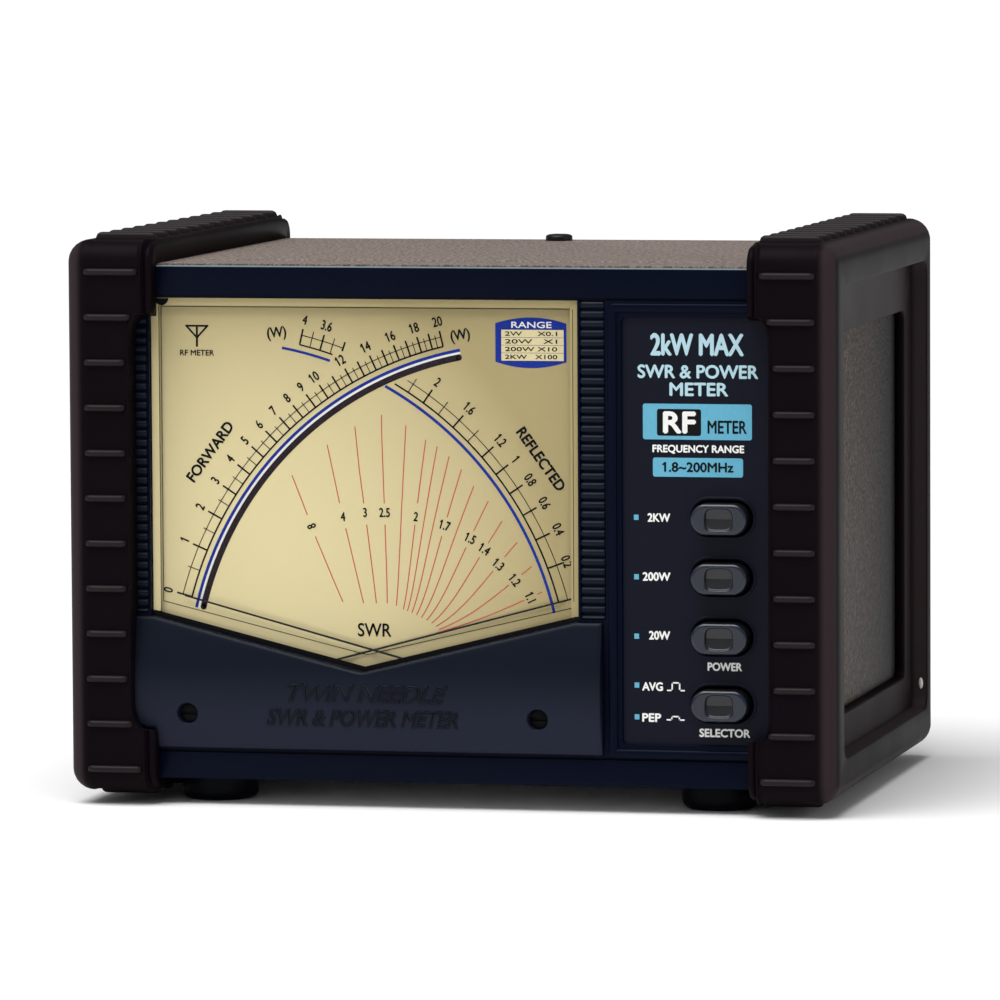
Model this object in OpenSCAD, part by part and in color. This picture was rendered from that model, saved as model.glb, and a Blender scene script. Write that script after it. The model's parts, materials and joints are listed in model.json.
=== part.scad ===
// Cross-needle SWR and power meter in a rubber-bumpered steel case.
// Millimetres. +X is right seen from the front, +Y runs from the front to the back, +Z is up.
// The origin is on the desk, under the middle of the whole meter with its rear sockets.
// Sizes along Y are given from the bezel's front face and placed by face_y.

/* [Case] */
// Width across the two side bumpers
overall_w = 165.7; // [165:0.1:168]
// Height of the front bezel
bezel_h = 109; // [108.5:0.1:110]
// Height of the bezel's underside above the desk
ground_gap = 5.7; // [5.7:0.1:6.5]
// Depth from the bezel's front face to the back of the rear panel
case_depth = 112.5; // [110:0.5:116]
// Thickness of the steel sheet
sheet = 1; // [0.8:0.1:1.2]
// Thickness of the bumper over the steel side
bumper_side = 5.6; // [5.2:0.1:5.6]

/* [Bumpers] */
// How far a bumper stands in front of the bezel and behind the rear panel
lip = 5; // [4.5:0.1:5.5]
// Height of a bumper above the steel top
bumper_top = 5.1; // [4.8:0.1:5.4]
// Half the clear width between the two bumpers
bumper_inner = 63.9; // [63.5:0.1:64.3]
// Radius of the bumper's rounded outer edges
bumper_r = 4.7; // [4:0.1:5]
// Spacing of the grip ridges along the top and bottom bars
ridge_pitch = 9.35; // [9.2:0.05:9.45]
// Height of a grip ridge over the bumper's skin
ridge_h = 0.7; // [0.5:0.1:0.8]

/* [Meter] */
// Middle of the meter window from the middle of the case
meter_x = -19.2; // [-19.6:0.1:-19]
// Width of the meter window
window_w = 92.6; // [92:0.1:93]
// Top of the meter window
window_top = 107.9; // [107.5:0.1:108]
// Height at which the window's sides end
window_low = 41.1; // [40.6:0.1:41.5]
// Height of the window's lower point
window_apex = 30.1; // [29.6:0.1:30.5]
// Half the distance between the two needle pivots
pivot_half = 32.8; // [32.4:0.1:33]
// Height of the needle pivots
pivot_z = 24.7; // [24.4:0.1:25]
// Length of a pointer from its pivot
pointer_len = 76.6; // [74:0.1:77]
// Angle of a pointer at rest above the horizontal
rest_angle = 15; // [14:0.5:16]
// Full swing of a pointer between its stops
needle_swing = 64; // [60:1:64]

/* [Controls] */
// Column of the push buttons from the middle of the case
button_x = 57.75; // [57.4:0.05:58]
// Spacing of the three range buttons
button_pitch = 12.5; // [12.4:0.1:12.7]
// Height of the middle range button
button_z = 50; // [49.5:0.1:50.5]
// Height of the selector button
selector_z = 23.4; // [23:0.1:24]
// Width of a button cap
button_w = 12.4; // [12:0.1:12.6]
// Height of a button cap
button_h = 6.9; // [6.5:0.1:7]
// Travel of a button
button_travel = 3; // [2.5:0.1:3]

/* [Rear] */
// Distance of each coaxial socket from the middle of the case
socket_half = 26; // [24:0.5:28]
// Height of the coaxial sockets
socket_z = 42; // [40:0.5:44]
// Outer radius of the socket thread
socket_r = 7.9; // [7.8:0.05:7.95]
// Length of the socket thread behind its flange
socket_len = 12; // [11:0.5:12]
// Power jack from the middle of the case
jack_x = 52; // [50:0.5:54]

/* [Hidden] */

// Small clearance used between pieces that only lie next to each other
gap = 0.1;

// Places along Y, from the bezel's front face
front_reach = lip + ridge_h;
flange_t = 2;
rear_reach = case_depth + flange_t + socket_len;
face_y = (front_reach - rear_reach) / 2;
rim_d = 1.5;
skirt_d = 12;
plate_t = 2.5;

// The steel case
case_half = overall_w / 2 - bumper_side;
bezel_low = ground_gap;
bezel_top = ground_gap + bezel_h;
steel_top = bezel_top + 0.4;
tray_low = ground_gap + sheet;
tray_top = tray_low + sheet;

// The bumpers
bumper_low = 2.9;
bumper_high = steel_top + bumper_top;
bumper_half = overall_w / 2;
bumper_rear = case_depth + lip;
tab_top = 104.7;
tab_low = 16.4;
lip_inner = 69;
window_step = 3.4;
ridges = 12;
first_ridge_z = 7.9;
front_pitch = 9.6;
first_ridge_y = 5.5;
bumper_screw_x = 73;
bumper_screw_z = [22.3, 99.1];

// The meter, with its layers from front to back
dial_shift = 1.7;
forward_x = meter_x + dial_shift + pivot_half;
reflected_x = meter_x + dial_shift - pivot_half;
zero_half = 38;
zero_z = 19.8;
glass_y = 0.3;
glass_t = 1;
forward_y = 1.7;
reflected_y = 2.2;
pointer_t = 0.2;
dial_y = 2.8;
dial_t = 0.8;
housing_back = 30;
housing_wall = 1.8;
apron_half = 51.7;
apron_low = 12.2;
apron_side = 40.4;
apron_apex = window_apex - 1.1;
apron_front = -1;
apron_back = 1.4;

// A moving-coil movement, around its pivot
shaft_r = 0.6;
hub_r = 1.6;
hub_end = 7;
bridge_y = 7.2;
bridge_t = 1;
yoke_y = 10;
yoke_len = 10;
yoke_in = 9.2;
yoke_out = 12.2;
core_r = 6.2;
coil_out = 8.4;
coil_in = 7;
coil_w = 3;
coil_y = 9;
coil_len = 12;
rear_bridge_y = 22;
lever_y = 3.4;
lever_t = 0.8;
boss_r = 2.5;
pin_r = 0.5;
pin_throw = 0.8;
meter_screw_x = 53;
meter_screw_z = [45, 104];
ear_y = 5;
ear_t = 2.5;

// The control panel
panel_left = 33.65;
panel_right = 74;
panel_low = 11.8;
panel_high = 107.4;
panel_border = 2.9;
panel_y = 0.8;
panel_t = 1.5;
cap_front = -3.2;
cap_back = 6;
plunger_w = 4;
plunger_back = 29;
guide_r = 0.8;
guide_len = 3.4;
spring_wire = 0.2;
board_t = 1.6;
board_z = 15;
switch_y = 12;
switch_back = 36;
switch_boss_x = 10.5;
switch_boss_z = [16.5, 72];
range_z = [button_z + button_pitch, button_z, button_z - button_pitch];
all_z = concat(range_z, [selector_z]);

// The rear
jack_z = 30;
jack_hole_r = 4;
socket_bolt = 9.1;
socket_bore_r = 6.1;
contact_r = 2.9;
contact_y = 106;
rear_screw_x = 58;
rear_screw_z = 14;

// Screws: head radius, head height, shank radius
head_r = 3;
head_h = 1.5;
shank_r = 1.4;
foot_r = 8.2;
foot_x = 54.6;
foot_inset = 15;
case_screw_y = [35, 84];

// ---- helpers ----

// Corner points of a rounded rectangle from (x0, y0) to (x1, y1)
function rounded(x0, y0, x1, y1, r, n = 6) = [
    for (c = [[x1 - r, y1 - r, 0], [x0 + r, y1 - r, 90], [x0 + r, y0 + r, 180], [x1 - r, y0 + r, 270]])
    for (i = [0 : n]) [c[0] + r * cos(c[2] + 90 * i / n), c[1] + r * sin(c[2] + 90 * i / n)]
];

// Stadium outline about (x, z)
function stadium(x, z, w, h, n = 12) = rounded(x - w / 2, z - h / 2, x + w / 2, z + h / 2, h / 2, n);

// Extrudes an outline in X and Z from the depth y to the depth y + t behind the bezel's face
module front_plate(y, t) {
    translate([0, face_y + y + t, 0]) rotate([90, 0, 0]) linear_extrude(t) children();
}

// Extrudes an outline in Y and Z from x to x + t
module side_plate(x, t) {
    translate([x, face_y, 0]) rotate([90, 0, 90]) linear_extrude(t) children();
}

// Box between two corners, with Y from the bezel's face
module block(low, high) {
    translate([low[0], low[1] + face_y, low[2]]) cube(high - low);
}

// Round bar along Y about (x, z), from the depth y to the depth y + len
module bar_y(x, z, r, y, len) {
    translate([x, face_y + y, z]) rotate([-90, 0, 0]) cylinder(h = len, r = r, $fn = 48);
}

// Tube along Y
module tube_y(x, z, r_out, r_in, y, len) {
    difference() {
        bar_y(x, z, r_out, y, len);
        bar_y(x, z, r_in, y - 1, len + 2);
    }
}

// Screw with a round head, along its own +Z, its head above the origin
module screw(len) {
    cylinder(h = head_h, r = head_r, $fn = 32);
    translate([0, 0, -len]) cylinder(h = len, r = shank_r, $fn = 24);
}

// Small screw with a round head, along its own +Z, its head above the origin
module small_screw(len) {
    cylinder(h = 1.2, r = 1.8, $fn = 24);
    translate([0, 0, -len]) cylinder(h = len, r = 0.95, $fn = 24);
}

// ---- bumpers ----

// The bumper's outer form on the +X side, rounded along all three directions
module bumper_form() {
    intersection() {
        side_plate(bumper_inner, bumper_half - bumper_inner)
            polygon(rounded(-lip, bumper_low, bumper_rear, bumper_high, bumper_r));
        front_plate(-lip, bumper_rear + lip)
            polygon(rounded(0, bumper_low, bumper_half, bumper_high, bumper_r));
        translate([0, face_y, 0]) linear_extrude(bumper_high + 10)
            polygon(rounded(0, -lip, bumper_half, bumper_rear, bumper_r));
    }
}

// Opening of the front or rear lip, which narrows between its corner tabs
module lip_opening(y) {
    front_plate(y, lip + 2)
        polygon([[bumper_inner - 5, tab_low], [65, tab_low], [lip_inner, tab_low + 6],
            [lip_inner, tab_top - 6], [65, tab_top], [bumper_inner - 5, tab_top]]);
}

module bumper() {
    difference() {
        bumper_form();
        block([0, 0, bezel_low], [case_half, case_depth, steel_top]);
        lip_opening(-lip - 1);
        lip_opening(case_depth - 1);
        // side window, shallow outer step and deeper inner opening
        side_plate(bumper_half - window_step, 10)
            polygon(rounded(5.7, 12, 108.6, 111, 2));
        side_plate(case_half - 1, 12)
            polygon(rounded(16.7, 19.6, 99, 100.4, 1.5));
        for (z = bumper_screw_z) {
            bar_y(bumper_screw_x, z, head_r + 0.4, bumper_rear - 2, 4);
            bar_y(bumper_screw_x, z, shank_r + 0.1, case_depth - 1, 8);
        }
    }
    front_ridges();
    top_ridges();
}

// Ridges across the front and rear lips
module front_ridges() {
    for (i = [0 : ridges - 1])
        let (z = first_ridge_z + i * front_pitch, x0 = (z < tab_low || z > tab_top) ? 66.5 : lip_inner + 0.6)
        for (y = [[-lip - ridge_h, 1], [bumper_rear - 0.3, 1]])
            block([x0, y[0], z - 0.7], [bumper_half - bumper_r, y[0] + y[1], z + 0.7]);
}

// Ridges across the top and bottom bars
module top_ridges() {
    for (i = [0 : ridges - 1])
        let (y = first_ridge_y + i * ridge_pitch)
        for (z = [[bumper_high - 0.3, 1], [bumper_low - ridge_h, 1]])
            block([bumper_inner + 0.9, y - 0.7, z[0]], [bumper_half - bumper_r, y + 0.7, z[0] + z[1]]);
}

module right_bumper() {
    color([0.09, 0.07, 0.08]) bumper();
}

module left_bumper() {
    color([0.09, 0.07, 0.08]) mirror([1, 0, 0]) bumper();
}

// ---- steel case ----

module top_cover() {
    color([0.45, 0.42, 0.39]) difference() {
        block([-case_half, rim_d, bezel_low], [case_half, case_depth, steel_top]);
        block([-case_half + sheet, rim_d - 1, bezel_low - 1],
            [case_half - sheet, case_depth + 1, steel_top - sheet]);
        translate([0, face_y + case_depth - 5, steel_top - 5]) cylinder(h = 10, r = shank_r + 0.1, $fn = 24);
    }
    color([0.45, 0.42, 0.39]) for (s = [0, 1]) mirror([s, 0, 0]) cover_flange();
}

// Inward flange under the tray, between the front and the rear foot
module cover_flange() {
    difference() {
        block([56, 26, bezel_low], [case_half - sheet, 88, tray_low]);
        for (y = case_screw_y) translate([60, face_y + y, 0]) cylinder(h = 20, r = shank_r + 0.1, $fn = 24);
    }
}

module chassis_tray() {
    half = case_half - sheet;
    color([0.55, 0.55, 0.56]) difference() {
        block([-half, rim_d, tray_low], [half, case_depth - sheet, tray_low + 12]);
        block([-half + sheet, rim_d - 1, tray_top], [half - sheet, case_depth - 2 * sheet, tray_low + 13]);
        // side walls begin behind the bezel's skirt
        block([-half - 1, rim_d - 1, tray_top], [half + 1, skirt_d + gap, tray_low + 13]);
        for (s = [-1, 1]) bar_y(s * rear_screw_x, rear_screw_z, shank_r, case_depth - 3, 6);
        for (s = [-1, 1], y = case_screw_y)
            translate([s * 60, face_y + y, 0]) cylinder(h = 20, r = shank_r, $fn = 24);
        for (x = [-45, 45], y = [44, 74])
            translate([x, face_y + y, 0]) cylinder(h = 20, r = 1.6, $fn = 24);
        for (x = [-foot_x, foot_x], y = [foot_inset, case_depth - foot_inset])
            translate([x, face_y + y, 0]) cylinder(h = 20, r = 2, $fn = 24);
    }
}

module rear_panel() {
    half = case_half - sheet - gap;
    color([0.45, 0.42, 0.39]) difference() {
        union() {
            block([-half, case_depth - sheet, tray_low], [half, case_depth, steel_top - sheet]);
            block([-20, case_depth - 9, steel_top - 2 * sheet], [20, case_depth - sheet, steel_top - sheet]);
        }
        for (s = [-1, 1]) {
            bar_y(s * socket_half, socket_z, 7.4, case_depth - 3, 6);
            for (a = [-1, 1], b = [-1, 1])
                bar_y(s * socket_half + a * socket_bolt, socket_z + b * socket_bolt, shank_r + 0.1,
                    case_depth - 3, 6);
            for (z = bumper_screw_z) bar_y(s * bumper_screw_x, z, shank_r, case_depth - 3, 6);
            bar_y(s * rear_screw_x, rear_screw_z, shank_r, case_depth - 3, 6);
        }
        bar_y(jack_x, jack_z, jack_hole_r, case_depth - 3, 6);
        translate([0, face_y + case_depth - 5, steel_top - 5]) cylinder(h = 10, r = shank_r, $fn = 24);
    }
}

// ---- front ----

// Outline of the window, grown by g all round
function window_outline(g = 0) = [
    [meter_x - window_w / 2 - g, window_low - g * 0.8], [meter_x, window_apex - g * 1.03],
    [meter_x + window_w / 2 + g, window_low - g * 0.8],
    [meter_x + window_w / 2 + g, window_top + g], [meter_x - window_w / 2 - g, window_top + g]
];

// Outline of the apron below the window, shrunk by g all round
function apron_outline(g = 0) = [
    [meter_x - apron_half + g, apron_low + g], [meter_x + apron_half - g, apron_low + g],
    [meter_x + apron_half - g, apron_side - g], [meter_x + window_w / 2 - 0.6, apron_side - g],
    [meter_x, apron_apex - g], [meter_x - window_w / 2 + 0.6, apron_side - g],
    [meter_x - apron_half + g, apron_side - g]
];

module front_bezel() {
    half = case_half - sheet - gap;
    color([0.04, 0.06, 0.12]) {
        difference() {
            union() {
                block([-case_half, 0, bezel_low], [case_half, rim_d, bezel_top]);
                block([-half, 0, tray_top + gap], [half, skirt_d, steel_top - sheet - gap]);
            }
            // the hollow behind the face
            block([-half + 1.6, plate_t, tray_top + gap + 1.6],
                [half - 1.6, skirt_d + 1, steel_top - sheet - gap - 1.6]);
            meter_opening();
            front_plate(-1, 6) polygon(panel_outline(0));
            // recessed strips beside the window, which carry the fins
            for (s = [-1, 1])
                block([meter_x + s * 49.6 - 2.7, -1, apron_side + 0.5],
                    [meter_x + s * 49.6 + 2.7, 1, window_top]);
            // grooves above the window and below the apron
            block([-case_half - 1, -1, window_top], [case_half + 1, 0.8, window_top + 0.6]);
            block([-case_half - 1, -1, apron_low - 0.9], [case_half + 1, 0.8, apron_low - 0.3]);
            meter_screw_holes(1.2);
        }
        // ledge that the control panel lies on
        difference() {
            front_plate(panel_y + panel_t, 2) polygon(panel_outline(-2));
            front_plate(panel_y, 6) polygon(panel_outline(1.4));
            meter_screw_holes(1.2);
        }
        meter_bosses();
        switch_bosses();
    }
}

// Outline of the control panel's opening, shrunk by g all round
function panel_outline(g) = rounded(panel_left + panel_border + g, panel_low + panel_border + g,
    panel_right - panel_border - g, panel_high - panel_border - g, 1);

// Opening for the window and the apron, with a ledge behind each of them
module meter_opening() {
    front_plate(-1, 1 + glass_y + glass_t) polygon(window_outline(gap));
    front_plate(-1, 1 + apron_back) polygon(apron_outline(0));
    front_plate(-1, 6) polygon([[meter_x - window_w / 2 + 1.5, apron_side - 3],
        [meter_x, window_apex - 3], [meter_x + window_w / 2 - 1.5, apron_side - 3],
        [meter_x + window_w / 2 - 1.5, window_top - 1.5], [meter_x - window_w / 2 + 1.5, window_top - 1.5]]);
    front_plate(-1, 6) polygon([[meter_x - apron_half + 1.5, apron_low + 1.5],
        [meter_x + apron_half - 1.5, apron_low + 1.5], [meter_x + apron_half - 1.5, apron_side - 1.5],
        [meter_x, window_apex], [meter_x - apron_half + 1.5, apron_side - 1.5]]);
    front_plate(-1, 1 + glass_y + glass_t) polygon([[meter_x - window_w / 2, apron_side - 1],
        [meter_x, window_apex - 3], [meter_x + window_w / 2, apron_side - 1],
        [meter_x + window_w / 2, window_low + 1], [meter_x - window_w / 2, window_low + 1]]);
}

module meter_screw_holes(start) {
    for (s = [-1, 1], z = meter_screw_z) bar_y(meter_x + s * meter_screw_x, z, 0.95, start, 10);
}

// Short bosses for the meter housing's ears
module meter_bosses() {
    for (s = [-1, 1], z = meter_screw_z)
        tube_y(meter_x + s * meter_screw_x, z, 2, 0.95, plate_t - 0.1, ear_y + 0.1 - plate_t);
}

// Long bosses for the switch board, and the bar that carries the upper two
module switch_bosses() {
    block([panel_left, plate_t - 0.1, switch_boss_z[1] - 2.4],
        [panel_right, plate_t + 2, switch_boss_z[1] + 2.4]);
    for (s = [-1, 1], z = switch_boss_z)
        difference() {
            bar_y(button_x + s * switch_boss_x, z, 2.4, plate_t - 0.1, switch_back + 0.1 - plate_t);
            bar_y(button_x + s * switch_boss_x, z, 0.95, switch_back - 8, 10);
        }
}

module apron() {
    color([0.06, 0.08, 0.14]) difference() {
        front_plate(apron_front, apron_back - apron_front) polygon(apron_outline(gap));
        for (s = [-1, 1]) {
            bar_y(meter_x + s * zero_half, zero_z, 2.1, apron_front - 1, 5);
            bar_y(meter_x + s * zero_half, zero_z, 2.9, 0.4, 3);
        }
        // notch under the left bumper's front lip
        front_plate(apron_front - 1, 1 + gap - apron_front)
            polygon([[-case_half, 0], [gap - bumper_inner, 0], [gap - bumper_inner, tab_low + gap],
                [gap - 65, tab_low + gap], [gap - lip_inner, tab_low + 6 + gap],
                [gap - lip_inner, apron_side + 1], [-case_half, apron_side + 1]]);
    }
}

module meter_window() {
    color([0.9, 0.95, 1, 0.3]) front_plate(glass_y, glass_t) polygon(window_outline(0));
}

module dial_plate() {
    color([0.93, 0.87, 0.65]) front_plate(dial_y, dial_t)
        polygon([[meter_x - 47.6, 38.6], [meter_x, 27.3], [meter_x + 47.6, 38.6],
            [meter_x + 47.6, 109], [meter_x - 47.6, 109]]);
}

// Open tray behind the dial, with ledges for the dial plate and four ears
module meter_housing() {
    low = 10;
    high = 111;
    half = 50.4;
    color([0.85, 0.83, 0.78]) difference() {
        union() {
            difference() {
                block([meter_x - half, plate_t + gap, low], [meter_x + half, housing_back, high]);
                block([meter_x - half + housing_wall, plate_t - 1, low + housing_wall],
                    [meter_x + half - housing_wall, housing_back - housing_wall, high - housing_wall]);
            }
            for (s = [-1, 1], z = [60, 100])
                block([meter_x + s * 47.6 - 1.4, dial_y + dial_t, z],
                    [meter_x + s * 47.6 + 1.4, housing_back - 1, z + 5]);
            for (s = [-1, 1], z = meter_screw_z)
                block([meter_x + s * 52.5 - 2.3, ear_y, z - 2.5],
                    [meter_x + s * 52.5 + 2.3, ear_y + ear_t, z + 2.5]);
        }
        meter_screw_holes(ear_y - 1);
    }
}

module lamp_holder() {
    color([0.3, 0.5, 0.3]) difference() {
        block([meter_x - 30, 8, 107.6], [meter_x + 30, 16, 109.2]);
        for (s = [-1, 1]) translate([meter_x + s * 20, face_y + 12, 100]) cylinder(h = 20, r = 1.5, $fn = 24);
    }
}

module dial_lamps() {
    color([1, 0.95, 0.7]) for (s = [-1, 1]) translate([meter_x + s * 20, face_y + 12, 109]) {
        mirror([0, 0, 1]) cylinder(h = 5, r = 1.45, $fn = 24);
        translate([0, 0, -5]) sphere(r = 1.45, $fn = 24);
    }
}

module meter_screws() {
    color([0.7, 0.7, 0.72]) for (s = [-1, 1], z = meter_screw_z)
        translate([meter_x + s * meter_screw_x, face_y + ear_y + ear_t, z]) rotate([-90, 0, 0])
            small_screw(5.6);
}

// ---- movements ----

// Static frame: yoke ring, front and rear bridges, posts and the boss that the zero lever turns on
module movement_frame(x, boss_start) {
    post = (yoke_in + yoke_out) / 2;
    difference() {
        union() {
            bar_y(x, pivot_z, yoke_out, yoke_y, yoke_len);
            for (y = [bridge_y, rear_bridge_y])
                block([x - 12, y, pivot_z - 3], [x + 12, y + bridge_t, pivot_z + 3]);
            for (s = [-1, 1])
                bar_y(x + s * post, pivot_z, 1.3, bridge_y, housing_back - housing_wall - bridge_y);
            bar_y(x, pivot_z, boss_r, boss_start, bridge_y + 0.1 - boss_start);
        }
        bar_y(x, pivot_z, yoke_in, yoke_y - 1, yoke_len + 2);
        bar_y(x, pivot_z, hub_r + 0.3, boss_start - 1, bridge_y + 1 - boss_start);
        bar_y(x, pivot_z, shaft_r + 0.05, bridge_y - 1, 30);
    }
}

// Core magnet with the two spokes that hold it in the yoke, square to the coil's middle place
module movement_core(x, middle) {
    difference() {
        union() {
            bar_y(x, pivot_z, core_r, yoke_y + 0.3, yoke_len - 0.6);
            translate([x, 0, pivot_z]) rotate([0, -middle - 90, 0])
                block([-yoke_in + 0.05, yoke_y + 0.3, -1], [yoke_in - 0.05, yoke_y + yoke_len - 0.3, 1]);
        }
    }
}

// Rectangular coil around the core, with its two pivot stubs, turned to the angle a above the horizontal
module movement_coil(x, a) {
    translate([x, 0, pivot_z]) rotate([0, -a, 0]) {
        difference() {
            block([-coil_out, coil_y, -coil_w / 2], [coil_out, coil_y + coil_len, coil_w / 2]);
            block([-coil_in, coil_y + 0.9, -coil_w], [coil_in, coil_y + coil_len - 0.9, coil_w]);
        }
    }
    bar_y(x, pivot_z, shaft_r, 5, coil_y - 5);
    bar_y(x, pivot_z, shaft_r, coil_y + coil_len, 2.6);
}

// Flat pointer with hub and balance weight, at the angle a above the horizontal
module pointer(x, y, a) {
    difference() {
        union() {
            bar_y(x, pivot_z, hub_r, y, hub_end - y);
            translate([x, 0, pivot_z]) rotate([0, -a, 0]) {
                front_plate(y, pointer_t) polygon([[0, -0.9], [18, -0.35], [pointer_len, -0.2],
                    [pointer_len, 0.2], [18, 0.35], [0, 0.9]]);
                front_plate(y, 0.6) polygon([[-3.9, -0.7], [0, -0.7], [0, 0.7], [-3.9, 0.7]]);
            }
        }
        bar_y(x, pivot_z, shaft_r, 5, 10);
    }
}

// Spiral hairspring: band between two spirals of three turns
module hairspring(x) {
    turns = 3;
    steps = 24 * turns;
    function at(i, r) = [(r + 3.2 * i / steps) * cos(360 * turns * i / steps),
        (r + 3.2 * i / steps) * sin(360 * turns * i / steps)];
    translate([x, 0, pivot_z]) front_plate(8.35, 0.4)
        polygon(concat([for (i = [0 : steps]) at(i, 1.3)], [for (i = [steps : -1 : 0]) at(i, 1.05)]));
}

// Slotted adjuster in the apron, with the eccentric pin that turns the zero lever
module zero_screw(x, px) {
    a = atan2(zero_z - pivot_z, x - px);
    difference() {
        union() {
            bar_y(x, zero_z, 2, -0.6, 1.2);
            bar_y(x, zero_z, 2.7, 0.5, 0.8);
            bar_y(x + pin_throw * cos(a), zero_z + pin_throw * sin(a), pin_r, 1.2, 3.6);
        }
        block([x - 3, -1, zero_z - 0.4], [x + 3, 0, zero_z + 0.4]);
    }
}

// Lever that carries the hairspring's outer end, slotted around the eccentric pin
module zero_lever(x, zx) {
    reach = norm([zx - x, zero_z - pivot_z]) + pin_throw;
    a = atan2(zero_z - pivot_z, zx - x);
    difference() {
        union() {
            bar_y(x, pivot_z, 4, lever_y, lever_t);
            translate([x, 0, pivot_z]) rotate([0, -a, 0])
                block([0, lever_y, -1.5], [reach + 1.8, lever_y + lever_t, 1.5]);
        }
        bar_y(x, pivot_z, boss_r + 0.05, lever_y - 1, 5);
        translate([x, 0, pivot_z]) rotate([0, -a, 0])
            block([reach - 1.6, lever_y - 1, -pin_r - 0.15], [reach + 3, lever_y + 3, pin_r + 0.15]);
    }
}

forward_rest = 180 - rest_angle;
forward_zero_x = meter_x + zero_half;
reflected_zero_x = meter_x - zero_half;

module forward_frame() { color([0.72, 0.6, 0.3]) movement_frame(forward_x, 3.1); }
module forward_core() { color([0.5, 0.5, 0.52]) movement_core(forward_x, 0); }
module forward_coil() { color([0.72, 0.4, 0.2]) movement_coil(forward_x, needle_swing / 2); }
module forward_needle() { color([0.08, 0.08, 0.08]) pointer(forward_x, forward_y, forward_rest); }
module forward_hairspring() { color([0.6, 0.5, 0.3]) hairspring(forward_x); }
module forward_zero_screw() { color([0.08, 0.08, 0.08]) zero_screw(forward_zero_x, forward_x); }
module forward_zero_lever() { color([0.72, 0.6, 0.3]) zero_lever(forward_x, forward_zero_x); }
module reflected_frame() { color([0.72, 0.6, 0.3]) movement_frame(reflected_x, 3.1); }
module reflected_core() { color([0.5, 0.5, 0.52]) movement_core(reflected_x, 0); }
module reflected_coil() { color([0.72, 0.4, 0.2]) movement_coil(reflected_x, -needle_swing / 2); }
module reflected_needle() { color([0.08, 0.08, 0.08]) pointer(reflected_x, reflected_y, rest_angle); }
module reflected_hairspring() { color([0.6, 0.5, 0.3]) hairspring(reflected_x); }
module reflected_zero_screw() { color([0.08, 0.08, 0.08]) zero_screw(reflected_zero_x, reflected_x); }
module reflected_zero_lever() { color([0.72, 0.6, 0.3]) zero_lever(reflected_x, reflected_zero_x); }

// ---- controls ----

module control_panel() {
    color([0.07, 0.1, 0.14]) difference() {
        front_plate(panel_y, panel_t) polygon(panel_outline(gap));
        for (z = all_z) front_plate(-1, 6) polygon(stadium(button_x, z, button_w + 0.8, button_h + 0.8));
    }
}

// Button cap with a finger dimple, a flange behind the panel and a square socket for its plunger
module cap(z) {
    flange_y = panel_y + panel_t + gap;
    color([0.05, 0.08, 0.16]) difference() {
        union() {
            front_plate(cap_front, cap_back - cap_front) polygon(stadium(button_x, z, button_w, button_h));
            front_plate(flange_y, 1) polygon(stadium(button_x, z, button_w + 2, button_h + 2));
        }
        front_plate(cap_front - 1, 1.6) polygon(rounded(button_x - 3, z - 2.5, button_x + 3, z + 2.5, 1.2));
        block([button_x - plunger_w / 2, 2, z - plunger_w / 2],
            [button_x + plunger_w / 2, 8, z + plunger_w / 2]);
    }
}

// Square plunger with the round guide that carries the return spring
module plunger(z) {
    color([0.9, 0.9, 0.88]) {
        block([button_x - plunger_w / 2, 2, z - plunger_w / 2],
            [button_x + plunger_w / 2, plunger_back, z + plunger_w / 2]);
        bar_y(button_x, z, guide_r, plunger_back, guide_len);
    }
}

module button_2kw() { cap(range_z[0]); }
module button_200w() { cap(range_z[1]); }
module button_20w() { cap(range_z[2]); }
module button_selector() { cap(selector_z); }
module plunger_2kw() { plunger(range_z[0]); }
module plunger_200w() { plunger(range_z[1]); }
module plunger_20w() { plunger(range_z[2]); }
module plunger_selector() { plunger(selector_z); }

// Switch body with a square channel for each plunger
module switch_body(zs) {
    c = plunger_w / 2 + 0.2;
    color([0.15, 0.15, 0.15]) difference() {
        block([button_x - 6.5, switch_y, min(zs) - 5], [button_x + 6.5, switch_back, max(zs) + 5]);
        for (z = zs) block([button_x - c, switch_y - 1, z - c], [button_x + c, switch_back + 1, z + c]);
    }
}

module range_switch() { switch_body(range_z); }
module selector_switch() { switch_body([selector_z]); }

function backwards(list) = [for (k = [len(list) - 1 : -1 : 0]) list[k]];

// Round wire wound into a helix along +Z
module coil_spring(r, wire, turns, len) {
    steps = 10 * turns;
    sides = 6;
    function point(i, j) = let (a = 360 * turns * i / steps, b = 360 * j / sides)
        [(r + wire * cos(b)) * cos(a), (r + wire * cos(b)) * sin(a), len * i / steps + wire * sin(b)];
    points = [for (i = [0 : steps], j = [0 : sides - 1]) point(i, j)];
    walls = [for (i = [0 : steps - 1], j = [0 : sides - 1])
        [i * sides + j, i * sides + (j + 1) % sides, (i + 1) * sides + (j + 1) % sides, (i + 1) * sides + j]];
    ends = [[for (j = [sides - 1 : -1 : 0]) j], [for (j = [0 : sides - 1]) steps * sides + j]];
    polyhedron(points, concat([for (w = walls) backwards(w)], [for (e = ends) backwards(e)]));
}

// Return springs, drawn at the length they have with the buttons pressed
module switch_springs() {
    color([0.75, 0.75, 0.78]) for (z = all_z)
        translate([button_x, face_y + plunger_back + button_travel + spring_wire + gap, z])
            rotate([-90, 0, 0]) coil_spring(1.45, spring_wire, 5,
                switch_back - plunger_back - button_travel - 2 * spring_wire - gap);
}

module switch_board() {
    color([0.15, 0.4, 0.25]) difference() {
        block([button_x - 14, switch_back, 13.5], [button_x + 14, switch_back + board_t, 75]);
        for (s = [-1, 1], z = switch_boss_z) bar_y(button_x + s * switch_boss_x, z, 1, switch_back - 1, 5);
    }
}

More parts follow.
